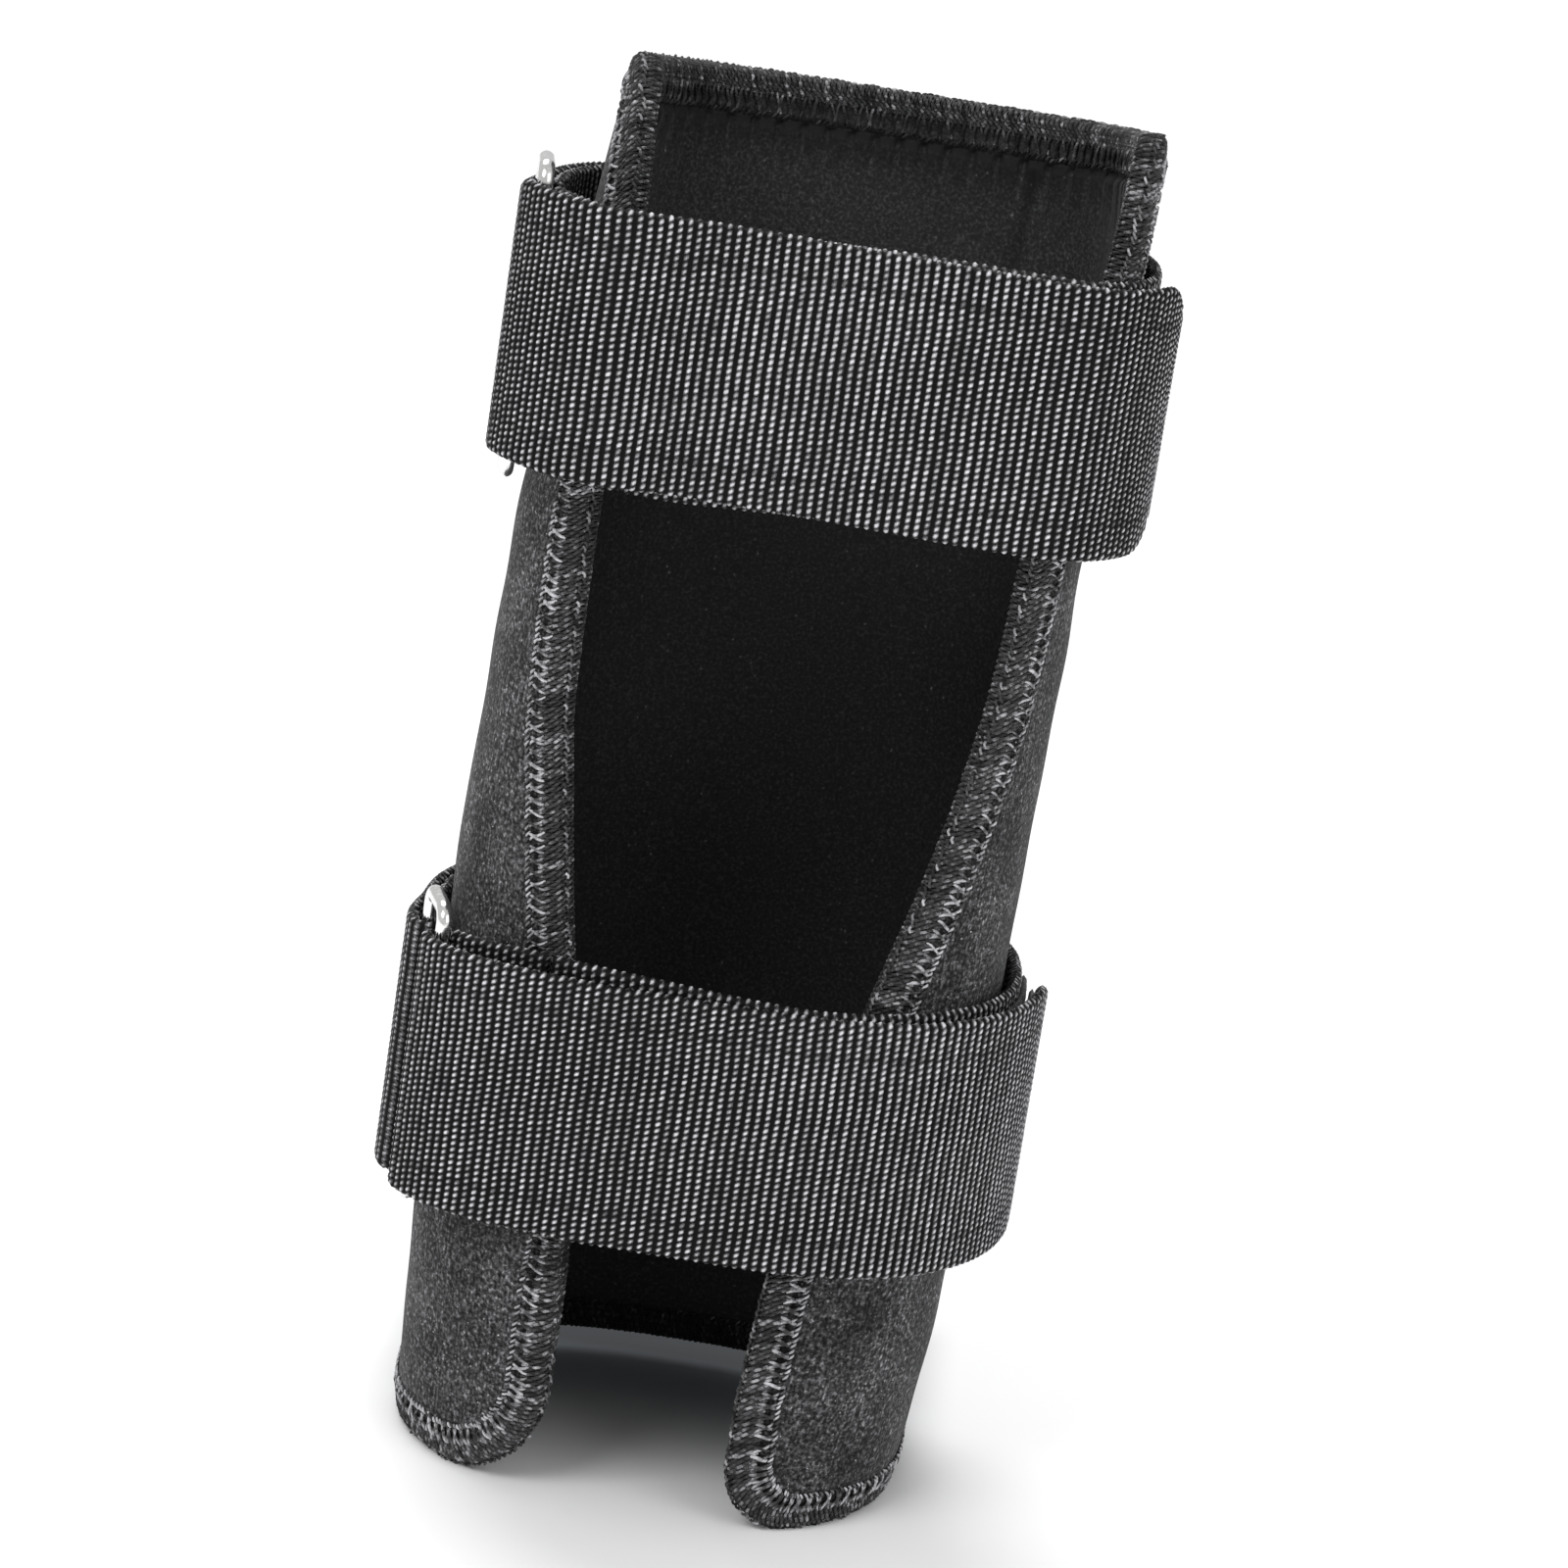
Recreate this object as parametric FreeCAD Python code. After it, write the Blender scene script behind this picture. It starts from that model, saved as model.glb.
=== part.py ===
# Wrist guard: an open sleeve of foam neoprene with a removable stay, closed by two webbing straps that pass through wire rings.
# Millimetres. +Z up, the sleeve stands on its lower end, its opening faces -Y, +X is to the right of the opening.
import FreeCAD, Part
import math
import os

V = FreeCAD.Vector
os.makedirs("parts", exist_ok=True)

# ---------------------------------------------------------------- driving dimensions
WEB_W = 38.0            # webbing width
WEB_T = 1.9             # webbing thickness
WIRE_R = 1.15           # ring wire radius
RING_C = 10.5           # distance between the ring's two long bars, centre to centre
RING_END = 2.3           # how far the ring's wire centre line stands past the webbing at each end
RING_BEND = 2.0          # centre line radius of the ring's corners
STAND = 2.4             # how much further than bar A the strap's bar B stands off the sleeve
BAR_GAP = 0.05          # radial running clearance of the webbing on a bar
CLEAR = 0.35            # running clearance between pieces of different bodies

HALF_T = 2.1            # half the thickness of the sleeve's cut, foam and lining together
LINING_T = 1.0          # lining thickness
DROP = 3.5               # how much lower the front flaps reach than the back
BOND = 0.06             # bond line between the foam and the lining
SEAT = 0.08             # thickness of the thread under a patch sewn to the webbing
BACK_B = 31.0           # mid surface of the sleeve, back and front half depth
BACK_N = 2.6            # squareness of the back half of the section
FRONT_N = 2.25          # squareness of the front half of the section
RIM_Z = 196.0           # height of the back of the top edge
RIM_SLOPE = 0.11        # the top edge rises towards the lips

BIND_T = 0.45           # thickness of the overlock thread on a face
BIND_CAP = 0.8          # thickness of the overlock thread on the cut edge
BIND_W = 7.0            # width of the overlock band on a face

UP_Z, LO_Z = 163.0, 57.0        # strap centre heights
LEFT_CORNER_R, RIGHT_CORNER_R = 16.0, 10.0    # rounded inner bottom corners of the two front flaps

STAY_W, STAY_T = 22.0, 1.8
STAY_Z0, STAY_Z1 = 15.0, 172.0
POCKET_Z0, POCKET_Z1 = 7.6, 176.0
POCKET_T = 1.1
POCKET_HALF = 17.0

LOOP_T, HOOK_T = 0.9, 0.9       # loop and hook fastener thickness
END_LEN = 26.0                  # length of the strap's peelable end

DX, DY, DZ = 0.985, 0.13, DROP - 0.07   # puts the origin under the middle of the whole object, on the plane it stands on

# outer half widths, left and right of the back's middle line, and the mid surface x of each lip, by height
LEFT_OUT = [(-10, 41.0), (0, 41.3), (25, 42.2), (60, 43.1), (80, 43.2), (115, 42.3), (140, 41.0), (165, 38.5), (183, 36.4), (196, 34.8), (215, 33.4)]
RIGHT_OUT = [(-10, 33.0), (0, 33.8), (25, 36.2), (60, 37.4), (85, 37.8), (115, 38.4), (140, 38.9), (165, 39.8), (183, 40.5), (196, 40.7), (215, 40.8)]
LEFT_LIP = [(-10, 17.2), (0, 17.2), (20, 17.3), (36, 17.0), (60, 20.0), (77, 23.2), (86, 24.8), (99, 26.9), (113, 28.8), (133, 29.2), (165, 29.4), (184, 29.8), (196, 30.8), (215, 31.0)]
RIGHT_LIP = [(-10, 9.0), (0, 9.0), (13, 9.0), (28, 9.9), (40, 11.2), (60, 14.5), (78, 19.2), (95, 24.0), (110, 27.4), (123, 29.4), (143, 30.8), (165, 33.6), (180, 36.2), (190, 37.4), (196, 37.9), (215, 38.0)]


def table(rows, z):
    """Monotone cubic reading of a table of (height, value)."""
    n = len(rows)
    if z <= rows[0][0]:
        return rows[0][1]
    if z >= rows[-1][0]:
        return rows[-1][1]
    d = [(rows[i + 1][1] - rows[i][1]) / (rows[i + 1][0] - rows[i][0]) for i in range(n - 1)]
    m = [d[0]] + [0.0 if d[i - 1] * d[i] <= 0 else 2 * d[i - 1] * d[i] / (d[i - 1] + d[i]) for i in range(1, n - 1)] + [d[-1]]
    for i in range(n - 1):
        z0, v0 = rows[i]
        z1, v1 = rows[i + 1]
        if z <= z1:
            h = z1 - z0
            t = (z - z0) / h
            return (v0 * (1 + 2 * t) * (1 - t) ** 2 + m[i] * h * t * (1 - t) ** 2 + v1 * t * t * (3 - 2 * t) + m[i + 1] * h * t * t * (t - 1))


def mid_point(z, a):
    """Mid surface of the sleeve at height z; a is 0 at the middle of the back, positive to the right."""
    half = (table(RIGHT_OUT, z) if a > 0 else table(LEFT_OUT, z)) - HALF_T
    s, c = math.sin(a), math.cos(a)
    p = 2.0 / (BACK_N if c > 0 else FRONT_N)
    x = half * math.copysign(abs(s) ** p, s)
    y = BACK_B * math.copysign(abs(c) ** p, c)
    return x, y


def lip_angle(z, side):
    half = (table(RIGHT_OUT, z) if side > 0 else table(LEFT_OUT, z)) - HALF_T
    lip = table(RIGHT_LIP, z) if side > 0 else table(LEFT_LIP, z)
    u = min(lip / half, 0.9985) ** (FRONT_N / 2.0)
    return side * (math.pi - math.asin(u))


def resample(pts, count):
    acc = [0.0]
    for i in range(1, len(pts)):
        acc.append(acc[-1] + math.hypot(pts[i][0] - pts[i - 1][0], pts[i][1] - pts[i - 1][1]))
    out, j = [], 0
    for k in range(count + 1):
        t = acc[-1] * k / count
        while j < len(pts) - 2 and acc[j + 1] < t:
            j += 1
        f = (t - acc[j]) / max(acc[j + 1] - acc[j], 1e-9)
        out.append((pts[j][0] + f * (pts[j + 1][0] - pts[j][0]), pts[j][1] + f * (pts[j + 1][1] - pts[j][1])))
    return out


def normals(pts):
    """Left-hand normals of an open polyline."""
    out = []
    for i in range(len(pts)):
        a = pts[max(i - 1, 0)]
        b = pts[min(i + 1, len(pts) - 1)]
        dx, dy = b[0] - a[0], b[1] - a[1]
        q = math.hypot(dx, dy)
        out.append((-dy / q, dx / q))
    return out


def section(z, off, ext, count=40):
    """Points at height z from the left lip round the back to the right lip, moved outwards by off, with both ends run on by ext."""
    a0, a1 = lip_angle(z, -1), lip_angle(z, 1)
    dense = resample([mid_point(z, a0 + (a1 - a0) * i / 700.0) for i in range(701)], count)
    nrm = normals(dense)
    pts = [(p[0] + off * n[0], p[1] + off * n[1]) for p, n in zip(dense, nrm)]
    if ext:
        n0, n1 = nrm[0], nrm[-1]
        t0, t1 = (n0[1], -n0[0]), (n1[1], -n1[0])
        first = (pts[0][0] - ext * t0[0], pts[0][1] - ext * t0[1])
        last = (pts[-1][0] + ext * t1[0], pts[-1][1] + ext * t1[1])
        if ext > 0:
            pts = [first] + pts + [last]
        else:
            keep = [p for p in pts]
            length = sum(math.hypot(keep[i + 1][0] - keep[i][0], keep[i + 1][1] - keep[i][1]) for i in range(len(keep) - 1))
            fine = resample(keep, 400)
            drop = int(round(-ext / length * 400))
            pts = fine[drop:len(fine) - drop]
        pts = resample(pts, count)
    return pts


def spline(pts, z):
    c = Part.BSplineCurve()
    c.interpolate([V(x, y, z) for x, y in pts])
    return c.toShape()


LEVELS = [-9, 10, 30, 55, 80, 105, 130, 155, 178, 192, 212]


def sleeve_loft(off_in, off_out, ext):
    wires = []
    for z in LEVELS:
        o = section(z, off_out, ext)
        i = section(z, off_in, ext)
        e1 = spline(o, z)
        e2 = Part.makeLine(V(o[-1][0], o[-1][1], z), V(i[-1][0], i[-1][1], z))
        e3 = spline(list(reversed(i)), z)
        e4 = Part.makeLine(V(i[0][0], i[0][1], z), V(o[0][0], o[0][1], z))
        wires.append(Part.Wire([e1, e2, e3, e4]))
    return Part.makeLoft(wires, True, False)


LOW_SLOPE = DROP / (2 * BACK_B)


def below(z):
    """Everything under the bottom's slanted plane, which is at height z at the back."""
    b = Part.makeBox(200, 200, 60, V(-100, -100, -60))
    b.rotate(V(0, 0, 0), V(1, 0, 0), math.degrees(math.atan(LOW_SLOPE)))
    b.translate(V(0, 0, z - LOW_SLOPE * BACK_B))
    return b


def corner_cutter(x_edge, r, side, inset):
    """What is cut off the inner bottom corner of a front flap; side -1 for the left flap."""
    rr = r - inset
    cx = x_edge + side * r
    w = 12.0
    zc = r - DROP
    block = Part.makeBox(rr + w, 60, rr + w, V(cx if side < 0 else cx - rr - w, -60, zc - rr - w))
    disc = Part.makeCylinder(rr, 60, V(cx, -60, zc), V(0, 1, 0))
    top = Part.makeBox(rr + w, 60, 60, V(cx if side < 0 else cx - rr - w, -60, zc))
    # keep only the corner square outside the quarter disc
    square = Part.makeBox(rr, 60, rr, V(cx if side < 0 else cx - rr, -60, zc - rr))
    keep = square.common(disc)
    return block.cut(top).cut(keep)


def shaped(loft, inset):
    """Cuts a sleeve loft to its outline, inset by so much at the top, the bottom and the rounded corners."""
    big = Part.makeBox(200, 200, 60, V(-100, -100, 0))
    # top plane: z = RIM_Z + RIM_SLOPE * (BACK_B - y) - inset
    ang = math.degrees(math.atan(RIM_SLOPE))
    big.rotate(V(0, 0, 0), V(1, 0, 0), -ang)
    big.translate(V(0, 0, RIM_Z + RIM_SLOPE * BACK_B - inset / math.cos(math.atan(RIM_SLOPE))))
    low = below(inset)
    out = loft.cut(big).cut(low)
    out = out.cut(corner_cutter(-table(LEFT_LIP, 0) + BIND_CAP * 0.6, LEFT_CORNER_R, -1, inset))
    out = out.cut(corner_cutter(table(RIGHT_LIP, 0) - BIND_CAP * 0.6, RIGHT_CORNER_R, 1, inset))
    return out


def biggest(shape):
    s = sorted(shape.Solids, key=lambda q: -q.Volume)
    return s[0]


def hull(points):
    pts = sorted(set((round(x, 5), round(y, 5)) for x, y in points))

    def half(seq):
        out = []
        for p in seq:
            while len(out) > 1 and (out[-1][0] - out[-2][0]) * (p[1] - out[-2][1]) - (out[-1][1] - out[-2][1]) * (p[0] - out[-2][0]) <= 0:
                out.pop()
            out.append(p)
        return out[:-1]

    return half(pts) + half(list(reversed(pts)))


def ring_curve(z0, z1):
    """Closed convex outline that holds the bound sleeve between two heights, as an evenly spaced smooth loop, counter-clockwise."""
    pts = []
    for i in range(7):
        z = z0 + (z1 - z0) * i / 6.0
        pts += section(z, HALF_T + BIND_T, BIND_CAP, 120)
    h = hull(pts)
    loop = resample(h + [h[0]], 720)[:-1]
    for _ in range(60):
        n = len(loop)
        loop = [(0.25 * loop[i - 1][0] + 0.5 * loop[i][0] + 0.25 * loop[(i + 1) % n][0], 0.25 * loop[i - 1][1] + 0.5 * loop[i][1] + 0.25 * loop[(i + 1) % n][1]) for i in range(n)]
    return resample(loop + [loop[0]], 720)[:-1]


class Track:
    """The convex outline a strap lies on. s runs in mm from the middle of the back, positive round the right side; d is the distance outside the sleeve."""

    def __init__(self, z0, z1):
        loop = ring_curve(z0, z1)
        k = min(range(len(loop)), key=lambda i: abs(loop[i][0]) + (1000 if loop[i][1] < 0 else 0))
        loop = loop[k:] + loop[:k]
        loop = [loop[0]] + list(reversed(loop[1:])) + [loop[0]]     # clockwise from above: towards +X first
        self.p = loop
        self.acc = [0.0]
        for i in range(1, len(loop)):
            self.acc.append(self.acc[-1] + math.hypot(loop[i][0] - loop[i - 1][0], loop[i][1] - loop[i - 1][1]))
        self.len = self.acc[-1]

    def base(self, s):
        s = s % self.len
        lo, hi = 0, len(self.acc) - 1
        while hi - lo > 1:
            m = (lo + hi) // 2
            if self.acc[m] <= s:
                lo = m
            else:
                hi = m
        f = (s - self.acc[lo]) / (self.acc[hi] - self.acc[lo])
        a, b = self.p[lo], self.p[hi]
        return a[0] + f * (b[0] - a[0]), a[1] + f * (b[1] - a[1])

    def at(self, s, d):
        x, y = self.base(s)
        x0, y0 = self.base(s - 1.2)
        x1, y1 = self.base(s + 1.2)
        q = math.hypot(x1 - x0, y1 - y0)
        nx, ny = -(y1 - y0) / q, (x1 - x0) / q      # outward for a clockwise loop
        return x + d * nx, y + d * ny

    def tangent(self, s):
        x0, y0 = self.base(s - 1.2)
        x1, y1 = self.base(s + 1.2)
        q = math.hypot(x1 - x0, y1 - y0)
        return (x1 - x0) / q, (y1 - y0) / q

    def find(self, test):
        """First s, going round the right side, where test(x, y) holds."""
        s = 0.0
        while s < self.len:
            x, y = self.base(s)
            if test(x, y):
                return s
            s += 0.1
        raise ValueError


def ribbon(mid, t, z0, z1):
    """Solid of thickness t about a polyline in plan, from z0 to z1."""
    n = normals(mid)
    a = [V(p[0] + 0.5 * t * q[0], p[1] + 0.5 * t * q[1], z0) for p, q in zip(mid, n)]
    b = [V(p[0] - 0.5 * t * q[0], p[1] - 0.5 * t * q[1], z0) for p, q in zip(mid, n)]
    poly = a + list(reversed(b)) + [a[0]]
    return Part.Face(Part.Wire(Part.makePolygon(poly))).extrude(V(0, 0, z1 - z0))


def smooth01(t):
    t = max(0.0, min(1.0, t))
    return t * t * (3 - 2 * t)


def steps(a, b, step):
    n = max(2, int(round(abs(b - a) / step)))
    return [a + (b - a) * i / n for i in range(n + 1)]


def track_path(tr, s0, s1, d, step=1.6):
    """Polyline on a track from s0 to s1; d is a number or a function of s."""
    f = d if callable(d) else (lambda s: d)
    return [tr.at(s, f(s)) for s in steps(s0, s1, step)]


def turn(c, r, from_pt, to_pt, through):
    """Arc about c of radius r from the direction of from_pt to that of to_pt by way of through."""
    a0 = math.atan2(from_pt[1] - c[1], from_pt[0] - c[0])
    a1 = math.atan2(to_pt[1] - c[1], to_pt[0] - c[0])
    am = math.atan2(through[1] - c[1], through[0] - c[0])
    up = (a1 - a0) % (2 * math.pi)
    if (am - a0) % (2 * math.pi) > up:
        up -= 2 * math.pi
    return [(c[0] + r * math.cos(a0 + up * i / 16.0), c[1] + r * math.sin(a0 + up * i / 16.0)) for i in range(17)]


made = {}


def export(name, shape):
    shape = shape.copy()
    shape.translate(V(DX, DY, DZ))
    shape.exportStep("parts/" + name + ".step")
    made[name] = shape
    b = FreeCAD.BoundBox()
    for p in shape.tessellate(0.2)[0]:
        b.add(p)
    print(name, "solids", len(shape.Solids), "vol %.1f" % shape.Volume, "valid", shape.isValid(), "x %.1f..%.1f y %.1f..%.1f z %.1f..%.1f" % (b.XMin, b.XMax, b.YMin, b.YMax, b.ZMin, b.ZMax))


# ---------------------------------------------------------------- sleeve: shell, lining and overlock bindings
shell = biggest(shaped(sleeve_loft(-HALF_T + LINING_T, HALF_T, 0.0), BIND_CAP))
lining = biggest(shaped(sleeve_loft(-HALF_T, -HALF_T + LINING_T - BOND, 0.0), BIND_CAP))
export("shell", shell)
export("lining", lining)

full = shaped(sleeve_loft(-HALF_T - BIND_T, HALF_T + BIND_T, BIND_CAP), 0.0)
hollow = shaped(sleeve_loft(-HALF_T - 0.05, HALF_T + 0.05, 0.05), BIND_CAP - 0.05)
window = shaped(sleeve_loft(-HALF_T - 3.0, HALF_T + 3.0, -BIND_W), BIND_W)
band = full.cut(hollow).cut(window)
slab_top = Part.makeBox(200, 200, 60, V(-100, -100, 0))
slab_top.rotate(V(0, 0, 0), V(1, 0, 0), -math.degrees(math.atan(RIM_SLOPE)))
slab_top.translate(V(0, 0, RIM_Z + RIM_SLOPE * BACK_B - BIND_W - 0.15))
slab_low = below(BIND_W + 0.15)
top = band.common(slab_top)
low = band.common(slab_low)
rest = band.cut(slab_top).cut(slab_low)
left = rest.common(Part.makeBox(100, 200, 300, V(-100 - 4, -100, -20)))
right = rest.common(Part.makeBox(120, 200, 300, V(-4, -100, -20)))
export("top_binding", biggest(top))
export("left_lip_binding", biggest(left))
export("right_lip_binding", biggest(right))
export("bottom_binding", biggest(low))


# ---------------------------------------------------------------- stay and its pocket on the back
def back_y(x, z):
    """Outer face of the shell's back at x."""
    pts = section(z, HALF_T, 0.0, 200)
    best = None
    for i in range(len(pts) - 1):
        (x0, y0), (x1, y1) = pts[i], pts[i + 1]
        if y0 > 0 and y1 > 0 and min(x0, x1) <= x <= max(x0, x1):
            best = y0 + (y1 - y0) * (x - x0) / (x1 - x0)
    return best


BACK_Y = BACK_B + HALF_T


def stay_y(x):
    return BACK_Y + BIND_T + CLEAR - x * x / 240.0


xs = [-STAY_W / 2 + STAY_W * i / 10.0 for i in range(11)]
stay_low = [V(x, stay_y(x), STAY_Z0) for x in xs]
stay_up = [V(x, stay_y(x) + STAY_T, STAY_Z0) for x in reversed(xs)]
stay = Part.Face(Part.Wire(Part.makePolygon(stay_low + stay_up + [stay_low[0]]))).extrude(V(0, 0, STAY_Z1 - STAY_Z0))
long_edges = [e for e in stay.Edges if abs(e.BoundBox.YLength - STAY_T) < 0.01 and e.BoundBox.XLength < 0.01 and e.BoundBox.ZLength < 0.01]
stay = stay.makeFillet(7.0, long_edges)
export("stay", stay)


def pocket_section(z, raise_to, t):
    """Closed section of the pocket panel: flat flanges on the shell, a raised middle that clears the stay."""
    under = []
    for x in (-17.0, -15.5, -14.0, -12.6, -11.4, -8, -4, 0, 4, 8, 11.4, 12.6, 14.0, 15.5, 17.0):
        base = back_y(x, z) + 0.06
        lift = stay_y(x) + STAY_T + CLEAR
        if abs(x) > 13:
            y = base
        elif abs(x) > 12:
            y = base + raise_to * 0.72 * (lift - base)
        else:
            y = base + raise_to * (lift - base)
        under.append((x, y))
    return under


def pocket_wire(z, raise_to):
    u = pocket_section(z, raise_to, POCKET_T)
    n = normals(u)
    o = [(p[0], p[1] + POCKET_T) for p in u]
    pts = [V(x, y, z) for x, y in u] + [V(x, y, z) for x, y in reversed(o)]
    return Part.makePolygon(pts + [pts[0]])


pocket_levels = [(POCKET_Z0, 0.0), (POCKET_Z0 + 3.6, 0.0), (STAY_Z0 - 0.8, 1.0), (30, 1.0), (55, 1.0), (80, 1.0), (105, 1.0), (130, 1.0), (155, 1.0), (POCKET_Z1, 1.0)]
pocket = Part.makeLoft([pocket_wire(z, k) for z, k in pocket_levels], True, True)
export("stay_pocket", pocket)


def back_strip(x0, x1, z0, z1, lift, t):
    """Thin strip lying on the pocket's flange."""
    wires = []
    for z in steps(z0, z1, 24.0) if z1 - z0 > 20 else (z0, z1):
        n = max(2, int((x1 - x0) / 1.2))
        q = [(x, back_y(x, z) + 0.06 + lift) for x in [x0 + (x1 - x0) * i / n for i in range(n + 1)]]
        pts = [V(x, y, z) for x, y in q] + [V(x, y + t, z) for x, y in reversed(q)]
        wires.append(Part.makePolygon(pts + [pts[0]]))
    return Part.makeLoft(wires, True, True)


st = [back_strip(-16.1, -15.3, POCKET_Z0 + 1.5, POCKET_Z1 - 1.0, POCKET_T + 0.08, 0.4), back_strip(15.3, 16.1, POCKET_Z0 + 1.5, POCKET_Z1 - 1.0, POCKET_T + 0.08, 0.4), back_strip(-14.8, 14.8, POCKET_Z0 + 1.5, POCKET_Z0 + 2.3, POCKET_T + 0.08, 0.4)]
export("pocket_stitching", Part.makeCompound(st))


# ---------------------------------------------------------------- rings and straps
def bent_ring(bar_a, bar_b, zc):
    """Oblong wire loop: bar A and bar B upright, joined by rounded ends."""
    ux, uy = bar_b[0] - bar_a[0], bar_b[1] - bar_a[1]
    w = math.hypot(ux, uy)
    ux, uy = ux / w, uy / w
    h = WEB_W / 2 + RING_END
    r = RING_BEND

    def q(u, v):
        return V(bar_a[0] + ux * u, bar_a[1] + uy * u, zc + v)

    k = r * (1 - math.sqrt(0.5))
    e = [
        Part.makeLine(q(0, -h + r), q(0, h - r)),
        Part.Arc(q(0, h - r), q(k, h - k), q(r, h)).toShape(),
        Part.makeLine(q(r, h), q(w - r, h)),
        Part.Arc(q(w - r, h), q(w - k, h - k), q(w, h - r)).toShape(),
        Part.makeLine(q(w, h - r), q(w, -h + r)),
        Part.Arc(q(w, -h + r), q(w - k, -h + k), q(w - r, -h)).toShape(),
        Part.makeLine(q(w - r, -h), q(r, -h)),
        Part.Arc(q(r, -h), q(k, -h + k), q(0, -h + r)).toShape(),
    ]
    path = Part.Wire(e)
    prof = Part.Wire([Part.makeCircle(WIRE_R, q(0, -h + r), V(0, 0, 1))])
    return path.makePipeShell([prof], True, False)


def strap(prefix, zc, bar_b_x, ring_dz, end_y):
    z0, z1 = zc - WEB_W / 2, zc + WEB_W / 2
    tr = Track(z0, z1)
    d_in = CLEAR + WEB_T / 2                       # mid line of a layer lying on the sleeve
    rr = WIRE_R + BAR_GAP + WEB_T / 2              # mid line radius of webbing round a bar
    d_bar = d_in + rr                              # bars' centre lines
    d_far = d_bar + rr                             # mid line of the layer outside a bar
    # bars
    s_b = tr.find(lambda x, y: y < 0 and x < bar_b_x)
    bar_b = tr.at(s_b, d_bar + STAND)
    s_a = s_b
    while math.hypot(tr.at(s_a, d_bar)[0] - bar_b[0], tr.at(s_a, d_bar)[1] - bar_b[1]) < RING_C:
        s_a += 0.01
    bar_a = tr.at(s_a, d_bar)
    ring = bent_ring(bar_a, bar_b, zc + ring_dz)
    export(prefix + "_ring", ring)

    # ring tab: one length of webbing, doubled round bar A and sewn to the left of the back
    s_tab = s_a + 36.0
    near = [tr.at(s, d_in) for s in steps(s_tab, s_a + 0.0, 1.6)]
    out_dir = tr.at(s_a, d_far)
    arc = turn(bar_a, rr, near[-1], out_dir, bar_b)
    lay = d_in + WEB_T + 0.08

    def far_d(s):
        return lay + (d_far - lay) * (1 - smooth01((s - s_a) / 14.0))

    far = [tr.at(s, far_d(s)) for s in steps(s_a, s_tab - 0.5, 1.6)]
    tab = ribbon(near[:-1] + arc + far[1:], WEB_T, z0, z1)
    export(prefix + "_ring_tab", tab)

    def rows(sa, sb, d, lo, hi):
        """Box of thread rows on a strap face."""
        th = 0.4
        w = 0.8
        seg = []
        for zz in (lo, hi - w):
            seg.append(ribbon(track_path(tr, sa, sb, d + th / 2), th, zz, zz + w))
        for ss in (sa, sb - w):
            seg.append(ribbon(track_path(tr, ss, ss + w, d + th / 2, 0.4), th, lo + w + 0.1, hi - w - 0.1))
        return Part.makeCompound(seg)

    d_tab_top = lay + WEB_T / 2 + 0.05
    export(prefix + "_tab_stitching", rows(s_tab - 15.0, s_tab - 2.5, d_tab_top, z0 + 3.0, z1 - 3.0))

    # inner run: sewn to the right of the back, round the right side and across the opening to the ring
    s_anchor = tr.find(lambda x, y: x > 20.5 and y > 0)
    s_gap = s_b - 3.7
    inner = ribbon([tr.at(s, d_in + STAND * smooth01((s - (s_b - 16.0)) / 16.0)) for s in steps(s_anchor, s_gap, 1.6)], WEB_T, z0, z1)
    export(prefix + "_strap_inner", inner)
    export(prefix + "_anchor_stitching", rows(s_anchor + 2.5, s_anchor + 15.0, d_in + WEB_T / 2 + 0.05, z0 + 3.0, z1 - 3.0))

    # outer run: round bar B and back over the inner run to the right side; its end carries the hook patch
    s_end = tr.find(lambda x, y: x > 30 and y < end_y)     # free end of the strap, on the right side
    s_hinge = s_end + END_LEN
    d_loop = d_in + WEB_T / 2
    d_end = d_loop + LOOP_T + CLEAR + HOOK_T + WEB_T / 2
    d_mid = d_in + WEB_T + 0.75

    def run_d(s):
        left_part = smooth01((s - (s_b - 24.0)) / 22.0)
        right_part = smooth01(((s_hinge + 24.0) - s) / 20.0)
        return d_mid + (d_far + STAND - d_mid) * left_part + (d_end - d_mid) * right_part

    outer = [tr.at(s, run_d(s)) for s in steps(s_hinge + 0.35, s_b, 1.6)]
    arc_b = turn(bar_b, rr, outer[-1], tr.at(s_b, d_in + STAND), bar_a)
    run = ribbon(outer[:-1] + arc_b, WEB_T, z0, z1)
    export(prefix + "_strap_outer", run)
    end = ribbon([tr.at(s, d_end) for s in steps(s_end, s_hinge - 0.35, 1.6)], WEB_T, z0, z1)
    export(prefix + "_strap_end", end)
    export(prefix + "_hook_patch", ribbon(track_path(tr, s_end + 1.5, s_hinge - 2.5, d_end - WEB_T / 2 - HOOK_T / 2 - SEAT), HOOK_T, z0 + 2.5, z1 - 2.5))
    export(prefix + "_loop_patch", ribbon(track_path(tr, s_end - 3.0, s_hinge + 3.0, d_loop + LOOP_T / 2 + SEAT), LOOP_T, z0 + 2.0, z1 - 2.0))
    hinge = tr.at(s_hinge, d_end + WEB_T / 2)
    print("JOINT", prefix, "bar_a (%.4f, %.4f)" % (bar_a[0] + DX, bar_a[1] + DY), "bar_b (%.4f, %.4f)" % (bar_b[0] + DX, bar_b[1] + DY), "hinge (%.4f, %.4f)" % (hinge[0] + DX, hinge[1] + DY), "z", zc + DZ)
    print("TRACK", prefix, "len %.1f s_a %.1f s_b %.1f s_anchor %.1f s_end %.1f s_hinge %.1f s_tab %.1f" % (tr.len, s_a, s_b, s_anchor, s_end, s_hinge, s_tab))


strap("upper", UP_Z, -37.5, -0.2, -5.0)
strap("lower", LO_Z, -37.4, 0.3, 2.0)

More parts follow.
